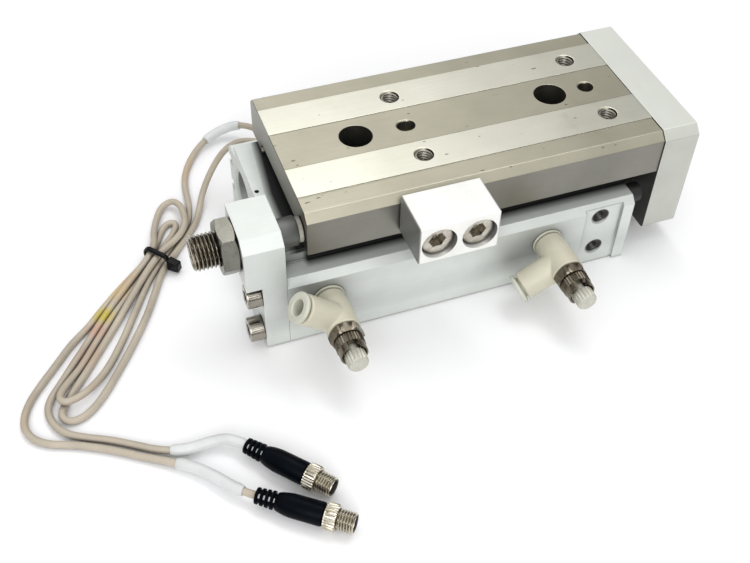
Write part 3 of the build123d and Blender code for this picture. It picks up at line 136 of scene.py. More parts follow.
# Soft lights: name, place and aim in metres, size and power
LIGHTS = (
    ("key", (0.25, 0.13, 0.96), (0, 0, 0.04), (0.6, 0.22), 1.9),
    ("back_glow", (0.02, 0.56, 0.84), (0, 0, 0.04), (0.5, 0.5), 0.75),
    ("front_fill", (-0.35, -0.95, 0.55), (0, 0, 0.03), (0.9, 0.7), 6.2))

# Camera: place in millimetres, then azimuth, elevation and roll in degrees
CAMERA_AT = (-140.99, -307.14, 324.64)
CAMERA_TURN = (21.13, 46.96, -1.6)
CAMERA_LENS = 50.53
FLOOR_HALF = 3.0

# Distance under which nearby points of a frame mesh are joined, in metres
WELD_REACH = 0.00001


class SLIDETABLE_PG_sizes(bpy.types.PropertyGroup):
    """Sizes of the pieces that the frame leaves plain."""
    lead_diameter: bpy.props.FloatProperty(
        name="Lead Diameter", description="Outer diameter of a sensor lead", default=2.9 * MM,
        unit="LENGTH")
    sleeve_diameter: bpy.props.FloatProperty(
        name="Sleeve Diameter", description="Outer diameter of a marker sleeve",
        default=4.4 * MM, unit="LENGTH")
    stop_pitch: bpy.props.FloatProperty(
        name="Stop Thread Pitch", description="Thread pitch of the stroke stop",
        default=1.5 * MM, unit="LENGTH")
    edge_width: bpy.props.FloatProperty(
        name="Edge Width", description="Width of the broken edge on machined parts",
        default=0.22 * MM, unit="LENGTH")


class SLIDETABLE_PG_colours(bpy.types.PropertyGroup):
    """Main colours of the finishes."""
    anodised: bpy.props.FloatVectorProperty(
        name="Anodised", description="Clear anodised body and holder", subtype="COLOR",
        default=(0.71, 0.74, 0.71))
    steel: bpy.props.FloatVectorProperty(
        name="Table Steel", description="Ground steel of the table", subtype="COLOR",
        default=(0.50, 0.475, 0.375))
    resin: bpy.props.FloatVectorProperty(
        name="Resin", description="Moulded resin of the elbows", subtype="COLOR",
        default=(0.60, 0.575, 0.455))
    lead: bpy.props.FloatVectorProperty(
        name="Lead Vinyl", description="Vinyl of the sensor leads", subtype="COLOR",
        default=(0.45, 0.395, 0.315))
    floor: bpy.props.FloatVectorProperty(
        name="Floor", description="Studio floor", subtype="COLOR", default=(0.92, 0.92, 0.93))


# Mesh tools

def axis_frame(at, axis, spin=0.0):
    """Frame with Z along axis at a point in millimetres, turned by spin degrees."""
    z = Vector(axis).normalized()
    side = Vector((0, 0, 1)) if abs(z.z) < 0.9 else Vector((1, 0, 0))
    x = (side - z * side.dot(z)).normalized()
    turn = Matrix.Rotation(radians(spin), 4, "Z")
    basis = Matrix((x, z.cross(x), z)).transposed().to_4x4()
    return Matrix.Translation(Vector(at)) @ basis @ turn


def put(name, data):
    """Make an object of some data and put it in the scene."""
    made = bpy.data.objects.new(name, data)
    bpy.context.scene.collection.objects.link(made)
    return made


def show(name, verts, faces, finish, smooth=35.0, scale=MM):
    """Make a mesh object from points in millimetres."""
    mesh = bpy.data.meshes.new(name)
    mesh.from_pydata([Vector(v) * scale for v in verts], [], faces)
    mesh.validate()
    mesh.shade_smooth()
    mesh.set_sharp_from_angle(angle=radians(smooth))
    mesh.materials.append(finish)
    return put(name, mesh)


def turned_shell(rows, at, axis, steps=48, spin=0.0, closed=False):
    """Points and faces of rows (radius, height, shape) turned round an axis."""
    place = axis_frame(at, axis, spin)
    verts, rings = [], []
    for row in rows:
        radius, height = row[0], row[1]
        shape = row[2] if len(row) > 2 else None
        start = len(verts)
        if radius == 0:
            verts.append(place @ Vector((0, 0, height)))
            rings.append([start] * steps)
            continue
        for i in range(steps):
            angle = 2 * pi * i / steps
            r = shape(angle, radius, height) if shape else radius
            verts.append(place @ Vector((r * cos(angle), r * sin(angle), height)))
        rings.append(list(range(start, start + steps)))
    faces = []
    pairs = list(zip(rings, rings[1:])) + ([(rings[-1], rings[0])] if closed else [])
    for low, high in pairs:
        for i in range(steps):
            j = (i + 1) % steps
            face = list(dict.fromkeys((low[i], low[j], high[j], high[i])))
            if len(face) > 2:
                faces.append(face)
    return verts, faces


def join_shells(shells):
    """Put several shells in one list of points and faces."""
    verts, faces = [], []
    for more_verts, more_faces in shells:
        base = len(verts)
        verts += more_verts
        faces += [[base + i for i in face] for face in more_faces]
    return verts, faces


def hexed(flats):
    """Row shape that cuts a round to a hexagon."""
    def shape(angle, radius, _height):
        off = (angle + pi / 6) % (pi / 3) - pi / 6
        return min(radius, flats / 2 / cos(off))
    return shape


def ribbed(count, depth, sharp=1.0):
    """Row shape with straight ribs."""
    def shape(angle, radius, _height):
        wave = 0.5 - 0.5 * cos(count * angle)
        return radius - depth * wave ** sharp
    return shape


def threaded(pitch, depth):
    """Row shape of a screw thread cut below the row's radius."""
    def shape(angle, radius, height):
        phase = (height / pitch - angle / (2 * pi)) % 1.0
        wave = min(1.0, max(0.0, abs(2 * phase - 1) * 1.25 - 0.06))
        return radius - depth * (1 - wave)
    return shape


def thread_rows(radius, start, end, pitch, depth, lead_in):
    """Rows of a threaded stretch that runs out in a chamfer at both ends."""
    count = max(8, int((end - start) / pitch * 8))
    shape = threaded(pitch, depth)
    rows = []
    for i in range(count + 1):
        h = start + (end - start) * i / count
        limit = radius - depth + min(1.0, (h - start) / lead_in, (end - h) / lead_in) * depth

        def held(angle, r, height, limit=limit):
            return min(limit, shape(angle, r, height))
        rows.append((radius, h, held))
    return rows


def lead_point(point):
    """A point of the hank's frame in the part's millimetres."""
    s, t, z = point
    return (TIE_AT[0] + s * TIE_ALONG[0] + t * TIE_ACROSS[0],
            TIE_AT[1] + s * TIE_ALONG[1] + t * TIE_ACROSS[1], z)


def tube_along(points, radius, steps):
    """Shell of a tube through points; radius is a function of the share run."""
    verts, faces = [], []
    normal = None
    runs = [0.0]
    for a, b in zip(points, points[1:]):
        runs.append(runs[-1] + (b - a).length)
    for k, point in enumerate(points):
        ahead = points[min(k + 1, len(points) - 1)] - points[max(k - 1, 0)]
        ahead.normalize()
        if normal is None:
            normal = ahead.orthogonal().normalized()
        normal = (normal - ahead * normal.dot(ahead)).normalized()
        side = ahead.cross(normal)
        r = radius(runs[k] / runs[-1])
        for i in range(steps):
            a = 2 * pi * i / steps
            verts.append(point + (normal * cos(a) + side * sin(a)) * r)
    for k in range(len(points) - 1):
        for i in range(steps):
            j = (i + 1) % steps
            base = k * steps
            faces.append([base + i, base + j, base + steps + j, base + steps + i])
    faces.append(list(range(steps))[::-1])
    faces.append([(len(points) - 1) * steps + i for i in range(steps)])
    return verts, faces


def soften(node, width, angle=30.0, segments=2):
    """Break a frame node's edges with modifiers and give it clean shading."""
    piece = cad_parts[node]
    weld = piece.modifiers.new("Weld", "WELD")
    weld.merge_threshold = WELD_REACH
    flat = piece.modifiers.new("Flats", "DECIMATE")
    flat.decimate_type = "DISSOLVE"
    flat.angle_limit = radians(0.5)
    edge = piece.modifiers.new("Edges", "BEVEL")
    edge.width = width
    edge.segments = segments
    edge.limit_method = "ANGLE"
    edge.angle_limit = radians(angle)
    edge.use_clamp_overlap = False
    shade = piece.modifiers.new("Shading", "WEIGHTED_NORMAL")
    shade.weight = 90
    return piece


def dress(nodes, finish, width=None, angle=30.0):
    """Give frame nodes a finish and, where width is given, broken edges."""
    for node in nodes:
        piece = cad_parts[node]
        piece.data.materials.clear()
        piece.data.materials.append(finish)
        if width:
            soften(node, width, angle)


# Finishes

def feed(tree, socket, value):
    """Link a socket to an output, or set its constant."""
    if isinstance(value, bpy.types.NodeSocket):
        tree.links.new(value, socket)
    else:
        socket.default_value = value


def add_node(tree, kind, **settings):
    """Add a node; capitalised or numbered settings are inputs, the rest are properties."""
    made = tree.nodes.new(kind)
    for key, value in settings.items():
        name = key.strip("_").replace("_", " ")
        if name.isdigit():
            feed(tree, made.inputs[int(name)], value)
        elif key[0].isupper():
            feed(tree, made.inputs[name], value)
        else:
            setattr(made, key, value)
    return made


class Finish:
    """A material whose nodes are added one at a time."""

    def __init__(self, name):
        self.material = bpy.data.materials.new(name)
        self.material.use_nodes = True
        self.tree = self.material.node_tree
        self.tree.nodes.clear()
        self.shader = self.node("ShaderNodeBsdfPrincipled")
        self.node("ShaderNodeOutputMaterial", Surface=self.shader.outputs[0])
        self.place = self.node("ShaderNodeTexCoord").outputs["Object"]

    def node(self, kind, **settings):
        """Add a node to the material."""
        return add_node(self.tree, kind, **settings)

    def set(self, **inputs):
        """Set or link inputs of the main shader."""
        for key, value in inputs.items():
            feed(self.tree, self.shader.inputs[key.replace("_", " ")], value)

    def parts(self, vector):
        """The three parts of a vector."""
        return self.node("ShaderNodeSeparateXYZ", Vector=vector).outputs

    def facing(self):
        """The three parts of the surface's normal."""
        return self.parts(self.node("ShaderNodeNewGeometry").outputs["Normal"])

    def noise(self, scale, detail=3.0, stretch=(1, 1, 1), rough=0.55):
        """Noise value in part coordinates; stretch scales each axis."""
        mapped = self.node("ShaderNodeMapping", Vector=self.place, Scale=stretch)
        made = self.node("ShaderNodeTexNoise", Vector=mapped.outputs[0], Scale=scale,
                         Detail=detail, Roughness=rough)
        return made.outputs["Fac"]

    def spread(self, value, low, high, to_low=0.0, to_high=1.0):
        """Map a value's range, clamped."""
        return self.node("ShaderNodeMapRange", Value=value, From_Min=low, From_Max=high,
                         To_Min=to_low, To_Max=to_high).outputs[0]

    def mix(self, share, a, b):
        """Mix two colours."""
        return self.node("ShaderNodeMix", data_type="RGBA", _0=share, _6=a, _7=b).outputs[2]

    def maths(self, operation, a, b=0.0):
        """One arithmetic node."""
        return self.node("ShaderNodeMath", operation=operation, _0=a, _1=b).outputs[0]

    def times(self, a, b):
        """Product of two values."""
        return self.maths("MULTIPLY", a, b)

    def bump(self, height, strength, distance, under=None):
        """Bump normal from a height, on top of another one."""
        made = self.node("ShaderNodeBump", Height=height, Strength=strength, Distance=distance)
        if under is not None:
            feed(self.tree, made.inputs["Normal"], under)
        return made.outputs[0]

    def crevices(self, reach):
        """Share of surface in corners and hollows."""
        made = self.node("ShaderNodeAmbientOcclusion", Distance=reach, samples=6)
        return self.spread(made.outputs["AO"], 0.35, 0.85, 1.0, 0.0)


def tone(colour, factor=1.0):
    """A colour with its alpha, made lighter or darker."""
    return (*[min(1.0, c * factor) for c in colour[:3]], 1.0)


def surface(name, colour, dark, metallic, rough, mottle=60.0, grain=None, grain_depth=0.02,
            pits=0.0, grime_and_shade=None, reach=0.0015, shine=None, shade=(), touch=None):
    """A finish with mottled colour, a directional grain, fine pits, and grime with painted shade in
    corners.

    shade lists (reach, darkest, lightest, strength, on the near side alone) for painted shade
    near other parts; touch is a function that changes colour and roughness last.
    """
    f = Finish(name)
    cloud = f.spread(f.noise(mottle, 4.0), 0.35, 0.68)
    base = f.mix(cloud, tone(colour), tone(dark))
    streak = f.noise(900.0, 2.0, grain or (1, 1, 1))
    base = f.mix(f.spread(streak, 0.3, 0.7, 0.0, 0.12), base, tone(dark, 0.85))
    gloss = f.spread(streak, 0.3, 0.7, rough[0], rough[1])
    normal = f.bump(streak, grain_depth, 0.0004)
    if pits:
        normal = f.bump(f.noise(2600.0, 3.0), pits, 0.0003, normal)
    # Grime and painted shade: darker in corners and hollows
    if grime_and_shade is not None:
        corner = f.crevices(reach)
        base = f.mix(f.times(corner, 0.75), base, tone(grime_and_shade))
        gloss = f.maths("MAXIMUM", gloss, f.spread(corner, 0, 1, 0.0, 0.6))
    # Painted shade: darker where other parts stand near and shut out light
    for span, darkest, lightest, strength, near_side in shade:
        wide = f.node("ShaderNodeAmbientOcclusion", Distance=span, samples=8).outputs["AO"]
        wide = f.times(f.spread(wide, darkest, lightest, strength, 0.0),
                       f.spread(f.parts(f.place)["Z"], 0.006, 0.016))
        if near_side:
            wide = f.times(wide, f.spread(f.facing()["Y"], -0.5, -0.8))
        base = f.mix(wide, base, tone((0.010, 0.010, 0.010)))
    if touch is not None:
        base, gloss = touch(f, base, gloss)
    f.set(Base_Color=base, Metallic=metallic, Roughness=gloss, Normal=normal)
    if shine is not None:
        f.set(Specular_IOR_Level=shine)
    return f.material


def plate_light_and_shade(f, base, gloss):
    """Painted light on upper faces and painted shade on the face towards the body."""
    facing = f.facing()
    base = f.mix(f.spread(facing["Z"], 0.6, 0.9, 0.0, 0.6), base, tone((0.82, 0.84, 0.78)))
    return f.mix(f.spread(facing["X"], -0.7, -0.9), base, tone((0.07, 0.07, 0.065))), gloss


def stop_shank_shade(f, base, gloss):
    """Painted shade: matt grey on the plain shank that stands before the thread, in the gap by the
    table.
    """
    front = f.spread(f.parts(f.place)["X"], -0.0800, -0.0798)
    base = f.mix(front, base, tone((0.17, 0.175, 0.165)))
    return base, f.maths("MAXIMUM", gloss, f.spread(front, 0, 1, 0.0, 0.55))


def block_rear_shade(f, base, gloss):
    """Painted shade, grey, on the face towards the rear."""
    return f.mix(f.spread(f.facing()["X"], -0.4, -0.8), base, tone((0.20, 0.20, 0.19))), gloss


def body_touch(f, base, gloss):
    """Rims of the pad's holes and the table's painted shadow on the body's top."""
    return table_shade(f, pad_marks(f, base)), gloss


def table_shade(f, base):
    """Painted shadow of the table on the body's top, behind the table's rear end and under its near
    edge.
    """
    split = f.parts(f.place)
    slant = f.maths("SUBTRACT", split["X"],
                    f.times(f.maths("MAXIMUM", split["Y"], 0.0), 0.10))
    deep = f.times(f.spread(slant, -0.0708, -0.0674),
                   f.spread(split["Z"], 0.0372, 0.0380))
    deep = f.times(deep, f.spread(split["Y"], -0.0385, -0.0365))
    under = f.times(f.spread(split["Y"], -0.0384, -0.0343),
                    f.spread(split["X"], -0.0655, -0.0635))
    under = f.times(under, f.spread(split["Z"], 0.030, 0.032))
    under = f.times(under, f.spread(split["Y"], 0.0, 0.001, 1.0, 0.0))
    deep = f.maths("MAXIMUM", f.maths("POWER", deep, 0.7), under)
    return f.mix(deep, base, tone((0.012, 0.013, 0.012)))


def pad_marks(f, base):
    """Rims of the two tapped holes in the milled pad, dark towards the top, with a painted
    highlight on the lower side.
    """
    split = f.parts(f.place)
    near = f.maths("LESS_THAN", split["Y"], -0.040)
    for z in PAD_HOLES_Z:
        def away(lift, z=z):
            """Distance from the hole's axis, lifted a little."""
            off = f.node("ShaderNodeCombineXYZ",
                         X=f.maths("SUBTRACT", split["X"], PAD_HOLE[0] * MM),
                         Z=f.maths("SUBTRACT", split["Z"], (z + lift) * MM)).outputs[0]
            return f.node("ShaderNodeVectorMath", operation="LENGTH", _0=off).outputs["Value"]
        rim = f.spread(away(0.0), 0.0039, 0.0042, 1.0, 0.0)
        # Painted highlight on the lower side of each rim
        glint = f.spread(away(0.9), 0.0036, 0.0042)
        mark = f.mix(glint, tone((0.035, 0.035, 0.035)), tone((0.42, 0.43, 0.42)))
        base = f.mix(f.times(rim, near), base, mark)
    return base


def table_finish(colour):
    """Ground table steel: two bright lands, a duller centre strip and shelves, and sides with
    painted shade.
    """
    f = Finish("table_steel")
    split = f.parts(f.place)
    faced = f.facing()
    upward = f.spread(faced["Z"], 0.2, 0.6)
    height = f.spread(split["Z"], 59.90 * MM, 59.97 * MM)
    streak = f.noise(700.0, 2.0, (0.05, 1.6, 1.6))
    fine = f.noise(1900.0, 2.0, (0.04, 1.2, 1.2))
    cloud = f.spread(f.noise(30.0, 5.0), 0.35, 0.7)
    dull = f.mix(cloud, tone(colour, 1.0), tone(colour, 0.84))
    bright = f.mix(cloud, tone((0.82, 0.81, 0.70)), tone((0.72, 0.71, 0.60)))
    # Painted shade: the sides get a darker copy of the steel
    side = f.mix(cloud, tone((0.27, 0.262, 0.23)), tone((0.22, 0.214, 0.19)))
    base = f.mix(upward, side, f.mix(height, dull, bright))
    base = f.mix(f.spread(streak, 0.45, 0.75, 0.0, 0.06), base, tone(colour, 0.5))
    rear_edge = f.times(f.spread(faced["X"], -0.3, -0.5), f.spread(faced["Z"], 0.2, 0.4))
    rim = f.times(rear_edge, f.spread(height, 0.0, 0.5, 1.0, 0.0))
    base = f.mix(rim, base, tone((0.035, 0.03, 0.025)))
    stain = f.spread(f.noise(16.0, 6.0, (1, 1, 1), 0.7), 0.60, 0.72, 0.0, 0.28)
    base = f.mix(stain, base, tone((0.34, 0.31, 0.25)))
    nicks = f.spread(f.noise(380.0, 1.0, (0.6, 1.4, 1.0)), 0.76, 0.78, 0.0, 0.7)
    base = f.mix(f.times(nicks, upward), base, tone((0.07, 0.06, 0.05)))
    # Grime and painted shade in corners
    corner = f.crevices(0.002)
    base = f.mix(f.times(corner, 0.8), base, tone((0.05, 0.045, 0.038)))
    gloss = f.maths("ADD", f.spread(streak, 0.3, 0.7, 0.38, 0.43),
                    f.times(height, -0.06))
    normal = f.bump(fine, 0.03, 0.0003, f.bump(streak, 0.010, 0.0004))
    f.set(Base_Color=base, Metallic=1.0, Roughness=gloss, Normal=normal)
    return f.material


def lead_finish(colour):
    """Soft vinyl with uneven soiling and a few warm stains."""
    f = Finish("lead_vinyl")
    cloud = f.spread(f.noise(55.0, 4.0), 0.3, 0.72)
    base = f.mix(cloud, tone(colour, 1.12), tone(colour, 0.82))
    warm = f.spread(f.noise(26.0, 2.0), 0.60, 0.72, 0.0, 0.55)
    base = f.mix(warm, base, tone((0.52, 0.37, 0.22)))
    pink = f.spread(f.noise(41.0, 2.0, (1, 1.3, 1)), 0.66, 0.76, 0.0, 0.5)
    base = f.mix(pink, base, tone((0.50, 0.33, 0.26)))
    for spot, reach, stain, share in LEAD_STAINS:
        off = f.node("ShaderNodeVectorMath", operation="DISTANCE", _0=f.place,
                     _1=[c * MM for c in spot])
        near = f.spread(off.outputs["Value"], reach * MM, 0.3 * reach * MM, 0.0, share)
        base = f.mix(near, base, tone(stain))
    # Painted shade where the leads lie against each other and other parts
    base = f.mix(f.times(f.crevices(0.0025), 0.70), base, tone((0.10, 0.085, 0.07)))
    f.set(Base_Color=base, Roughness=f.spread(cloud, 0, 1, 0.38, 0.55),
          Normal=f.bump(f.noise(1500.0, 3.0), 0.06, 0.0003))
    f.set(Specular_IOR_Level=0.45)
    return f.material


def make_finishes():
    """All the finishes by name."""
    colours = bpy.context.scene.slidetable_colours
    anodised = tuple(colours.anodised)
    resin = tuple(colours.resin)
    # Colour of the grime and painted shade in corners
    soot_and_shade = (0.06, 0.055, 0.05)
    return {
        # Body: painted shade near other parts and on its near side, and the table's painted shadow
        # on its top
        "body": surface("body_anodised", anodised, tone(anodised, 0.92), 0.45, (0.40, 0.50),
                        45.0, (0.04, 3, 3), 0.012, 0.03, soot_and_shade, 0.002,
                        shade=((0.006, 0.40, 0.60, 0.6, False), (0.022, 0.50, 0.95, 0.62, True)),
                        touch=body_touch),
        "bore": surface("bore_anodised", (0.55, 0.57, 0.56), (0.42, 0.43, 0.43), 0.8, (0.3, 0.4)),
        "table": table_finish(tuple(colours.steel)),
        # Rail: painted shade, its steel painted near black for the shade under the table
        "rail": surface("rail_steel_shaded", (0.06, 0.06, 0.058), (0.04, 0.04, 0.038), 0.6, (0.34, 0.46),
                        50.0, (0.06, 1, 1), 0.03),
        "ring_steel": surface("snap_ring_steel", (0.20, 0.20, 0.19), (0.12, 0.12, 0.11), 1.0,
                              (0.3, 0.4), 80.0),
        # Plate: painted shade near other parts, painted light on its tops and painted shade on its
        # face towards the body
        "plate": surface("plate_anodised", (0.56, 0.57, 0.52), (0.48, 0.49, 0.445), 0.45,
                         (0.40, 0.52), 42.0, (3, 0.06, 3), 0.012, 0.03, soot_and_shade, 0.002,
                         shade=((0.020, 0.35, 0.85, 0.95, False),), touch=plate_light_and_shade),
        # Block: painted shade on its face towards the rear
        "block": surface("block_white", (0.88, 0.88, 0.85), (0.80, 0.80, 0.77), 0.35,
                         (0.38, 0.50), 70.0, None, 0.02, 0.03, soot_and_shade, touch=block_rear_shade),
        "screw": surface("screw_nickel", (0.60, 0.57, 0.50), (0.40, 0.37, 0.31), 1.0,
                         (0.22, 0.36), 300.0, None, 0.02, 0.03, (0.05, 0.035, 0.02), 0.002),
        # Holder screws: painted shade near the holder and nut
        "dark_screw": surface("screw_dark_nickel", (0.40, 0.37, 0.32), (0.27, 0.25, 0.21), 1.0,
                              (0.16, 0.24), 60.0, None, 0.01, 0.0, (0.03, 0.025, 0.02), 0.002,
                              shade=((0.008, 0.45, 0.85, 0.8, False),)),
        # Stop: painted shade near the nut and holder, and on its shank in the gap
        "stop": surface("stop_nickel", (0.44, 0.40, 0.32), (0.30, 0.27, 0.21), 1.0,
                        (0.16, 0.26), 250.0, None, 0.01, 0.0, (0.03, 0.025, 0.018), 0.0010,
                        shade=((0.007, 0.40, 0.80, 0.8, False),), touch=stop_shank_shade),
        "nut": surface("nut_nickel", (0.27, 0.265, 0.23), (0.20, 0.195, 0.165), 1.0,
                       (0.26, 0.38), 160.0, None, 0.02, 0.04, (0.05, 0.045, 0.03), 0.001),
        "rod": surface("rod_chrome", (0.70, 0.70, 0.69), (0.62, 0.62, 0.61), 1.0,
                       (0.10, 0.16), 200.0, (0.1, 1, 1), 0.01),
        "alloy": surface("machined_alloy", (0.60, 0.61, 0.61), (0.50, 0.51, 0.51), 1.0,
                         (0.28, 0.40), 120.0, None, 0.03, 0.0, soot_and_shade, 0.001),
        "cage": surface("cage_brass", (0.58, 0.48, 0.28), (0.48, 0.39, 0.22), 1.0, (0.3, 0.42)),
        "seal": surface("seal_rubber", (0.03, 0.03, 0.03), (0.05, 0.05, 0.05), 0.0, (0.5, 0.65)),
        "bumper": surface("bumper_rubber", (0.008, 0.008, 0.008), (0.012, 0.012, 0.012), 0.0,
                          (0.45, 0.6), 300.0),
        # Cushion: painted shade in the gap by the table
        "cushion": surface("cushion_urethane", (0.50, 0.48, 0.41), (0.40, 0.38, 0.32), 0.0,
                           (0.45, 0.6), 300.0, shade=((0.008, 0.30, 0.75, 0.85, False),)),
        "magnet": surface("magnet_dark", (0.05, 0.05, 0.05), (0.08, 0.08, 0.08), 0.3, (0.4, 0.5)),
        "resin": surface("elbow_resin", resin, tone(resin, 0.90), 0.0, (0.34, 0.46), 90.0,
                         None, 0.02, 0.05, (0.34, 0.31, 0.20), 0.0012),
        "collar": surface("collar_resin", (0.58, 0.59, 0.50), (0.52, 0.52, 0.43), 0.0,
                          (0.36, 0.48), 110.0, None, 0.02, 0.05, (0.30, 0.28, 0.20), 0.001),
        "nickel": surface("fitting_nickel", (0.23, 0.20, 0.155), (0.16, 0.138, 0.105), 1.0,
                          (0.20, 0.28), 90.0, None, 0.01, 0.0, (0.03, 0.024, 0.016), 0.001),
        "knob": surface("knob_plated", (0.56, 0.555, 0.48), (0.48, 0.47, 0.40), 0.25,
                        (0.36, 0.48), 300.0, None, 0.02, 0.03, (0.16, 0.14, 0.10), 0.0008),
        "sensor": surface("sensor_grey", (0.20, 0.21, 0.22), (0.14, 0.15, 0.16), 0.0,
                          (0.4, 0.5), 120.0),
        "lead": lead_finish(tuple(colours.lead)),
        "sleeve": surface("sleeve_white", (0.66, 0.68, 0.67), (0.58, 0.60, 0.585), 0.0,
                          (0.30, 0.42), 120.0, None, 0.03, 0.03),
        "tie": surface("tie_black", (0.0015, 0.0015, 0.002), (0.003, 0.003, 0.004), 0.0,
                       (0.20, 0.30), 200.0, None, 0.02, 0.05, shine=0.14),
        "boot": surface("boot_black", (0.0010, 0.0018, 0.003), (0.002, 0.0035, 0.006), 0.0,
                        (0.28, 0.38), 160.0, None, 0.02, 0.05, shine=0.04),
        "insert": surface("insert_black", (0.02, 0.02, 0.02), (0.03, 0.03, 0.03), 0.0, (0.4, 0.5)),
        "ring": surface("ring_nickel", (0.68, 0.64, 0.54), (0.48, 0.44, 0.35), 1.0,
                        (0.20, 0.32), 260.0, None, 0.01, 0.0, (0.04, 0.03, 0.02), 0.0008),
        "pad_thread": surface("pad_thread", (0.10, 0.10, 0.095), (0.05, 0.05, 0.048), 1.0,
                              (0.3, 0.45), 300.0),
        "thread": surface("tapped_thread", (0.42, 0.40, 0.35), (0.26, 0.25, 0.21), 1.0,
                          (0.28, 0.42), 300.0, None, 0.02, 0.0, (0.02, 0.02, 0.015), 0.002),
        "contact": surface("contact_gold", (0.75, 0.55, 0.22), (0.60, 0.42, 0.15), 1.0, (0.2, 0.3)),
    }


FINISH = {}

# Frame nodes by finish, with the share of the edge width by which their edges are broken
PLAIN_NODES = (
    ("body", 1, "body_extrusion adjuster_holder"),
    ("table", 1, "slide_table"),
    ("plate", 1, "end_plate"),
    ("block", 1, "stop_block"),
    ("rail", 0.5, "guide_rail"),
    ("alloy", 0.7, "head_cap_near head_cap_far rod_cover_near rod_cover_far"),
    ("ring_steel", 0.3, "snap_rings"),
    ("screw", 0.5, "rail_screws"),
    ("alloy", 0, "piston_near piston_far"),
    ("rod", 0, "piston_rod_near piston_rod_far rollers_near rollers_far"),
    ("cage", 0, "roller_cage_near roller_cage_far"),
    ("seal", 0, "piston_seals rod_seals"),
    ("magnet", 0, "piston_magnets"),
    ("bumper", 1, "front_bumpers"),
    ("cushion", 1, "adjuster_cushion"),
    ("nut", 0.7, "adjuster_nut"),
    ("sensor", 0.5, "sensor_a sensor_b"),
    ("screw", 0.2, "sensor_screws"),
    ("collar", 0.5, "port_gaskets"))


class SLIDETABLE_OT_finishes(bpy.types.Operator):
    """Make the finishes and put them on the parts whose shape the frame already gives."""
    bl_idname = "slidetable.finishes"
    bl_label = "Finishes"

    def execute(self, _context):
        FINISH.update(make_finishes())
        edge = bpy.context.scene.slidetable_sizes.edge_width
        for finish, share, nodes in PLAIN_NODES:
            dress(nodes.split(), FINISH[finish], edge * share)
        return {"FINISHED"}


class SLIDETABLE_OT_stop(bpy.types.Operator):
    """Make the threaded stroke stop with its hexagon socket."""
    bl_idname = "slidetable.stop"
    bl_label = "Stroke Stop"

    def execute(self, context):
        pitch = context.scene.slidetable_sizes.stop_pitch / MM
        length = STOP_SHOULDER_X - STOP_REAR_X
        socket = hexed(6.0)
        rows = [(0, 5.4), (3.1, 5.6, socket), (3.46, 5.2, socket), (3.46, 0.35, socket),
                (3.75, 0.02), (5.4, 0.0), (5.9, 0.12)]
        rows += thread_rows(6.9, 0.2, length - 0.2, pitch, 0.85, 0.9)
        rows += [(5.8, length), (5.8, STOP_FRONT_X - STOP_REAR_X - 0.3),
                 (5.5, STOP_FRONT_X - STOP_REAR_X), (0, STOP_FRONT_X - STOP_REAR_X)]
        at = (STOP_REAR_X, STOP_AXIS_Y, STOP_AXIS_Z)
        piece = show("stop_bolt", *turned_shell(rows, at, (1, 0, 0), 72), FINISH["stop"], 50)
        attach(piece, "adjuster")
        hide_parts("adjuster_bolt")
        return {"FINISHED"}


def screw_shell(seat, axis, shank, head, height, flats, length, ribs, depth):
    """Socket head screw with a knurled head."""
    knurl = ribbed(ribs, depth)
    socket = hexed(flats)
    deep = height * 0.45
    corner = flats / 2 / cos(radians(30)) + 0.02
    rows = [(0, deep - 0.35), (corner * 0.86, deep, socket), (corner, deep + 0.05, socket),
            (corner, height - 0.25, socket), (corner + 0.25, height), (head - 0.55, height),
            (head - 0.18, height - 0.12), (head - 0.02, height - 0.5), (head, height - 0.62, knurl),
            (head, 0.35, knurl), (head - 0.14, 0.3), (head - 0.25, 0), (shank, 0), (shank, -length),
            (0, -length)]
    return turned_shell(rows, seat, axis, ribs * 4)


class SLIDETABLE_OT_screws(bpy.types.Operator):
    """Make the socket head screws with knurled heads."""
    bl_idname = "slidetable.screws"
    bl_label = "Screws"

    def execute(self, _context):
        near, front, rear = (0, -1, 0), (1, 0, 0), (-1, 0, 0)
        block = [((x, BLOCK_SEAT_Y, BLOCK_SCREW_Z), near) for x in BLOCK_SCREWS_X]
        plate = [((PLATE_SEAT_X, y, PLATE_SCREW_Z), front) for y in PLATE_SCREWS_Y]
        rods = [((PLATE_SEAT_X, y, ROD_Z), front) for y in RODS_Y]
        holder = [((HOLDER_SEAT_X, HOLDER_SCREW_Y, z), rear) for z in HOLDER_SCREWS_Z]
        m6 = (3.0, 5.0, 6.0, 5.0)
        m8 = (4.0, 6.5, 8.0, 6.0)
        groups = [
            ("block_screws", "stop_block_screws", block, m8, 24.0, "table", "screw"),
            ("plate_screws", "end_plate_screws", plate, m6, 20.0, "table", "screw"),
            ("rod_end_screws", "rod_screws", rods, m6, 20.0, "table", "screw"),
            ("holder_screws", "adjuster_holder_screws", holder, m6, 18.6, BODY, "dark_screw")]
        for name, node, places, size, length, body, finish in groups:
            depth = 0.05 if finish == "dark_screw" else 0.14
            shells = [screw_shell(seat, axis, *size, length, 36, depth) for seat, axis in places]
            piece = show(name, *join_shells(shells), FINISH[finish], 40)
            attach(piece, body)
            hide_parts(node)
        return {"FINISHED"}


def tapped_shell(radius, depth, pitch, mouth, axis, mouth_edge):
    """Thread standing in a tapped hole; axis points out of the hole."""
    count = int((depth - mouth_edge) / pitch * 8)
    shape = threaded(pitch, -0.42 * pitch)
    rows = [(radius + 0.03, -depth), (radius + 0.03, -mouth_edge - 0.1)]
    for i in range(count + 1):
        h = -mouth_edge - 0.1 - (depth - mouth_edge - 0.2) * i / count
        rows.append((radius - 0.42 * pitch + 0.02, h, shape))
    return turned_shell(rows, mouth, axis, 40, closed=True)


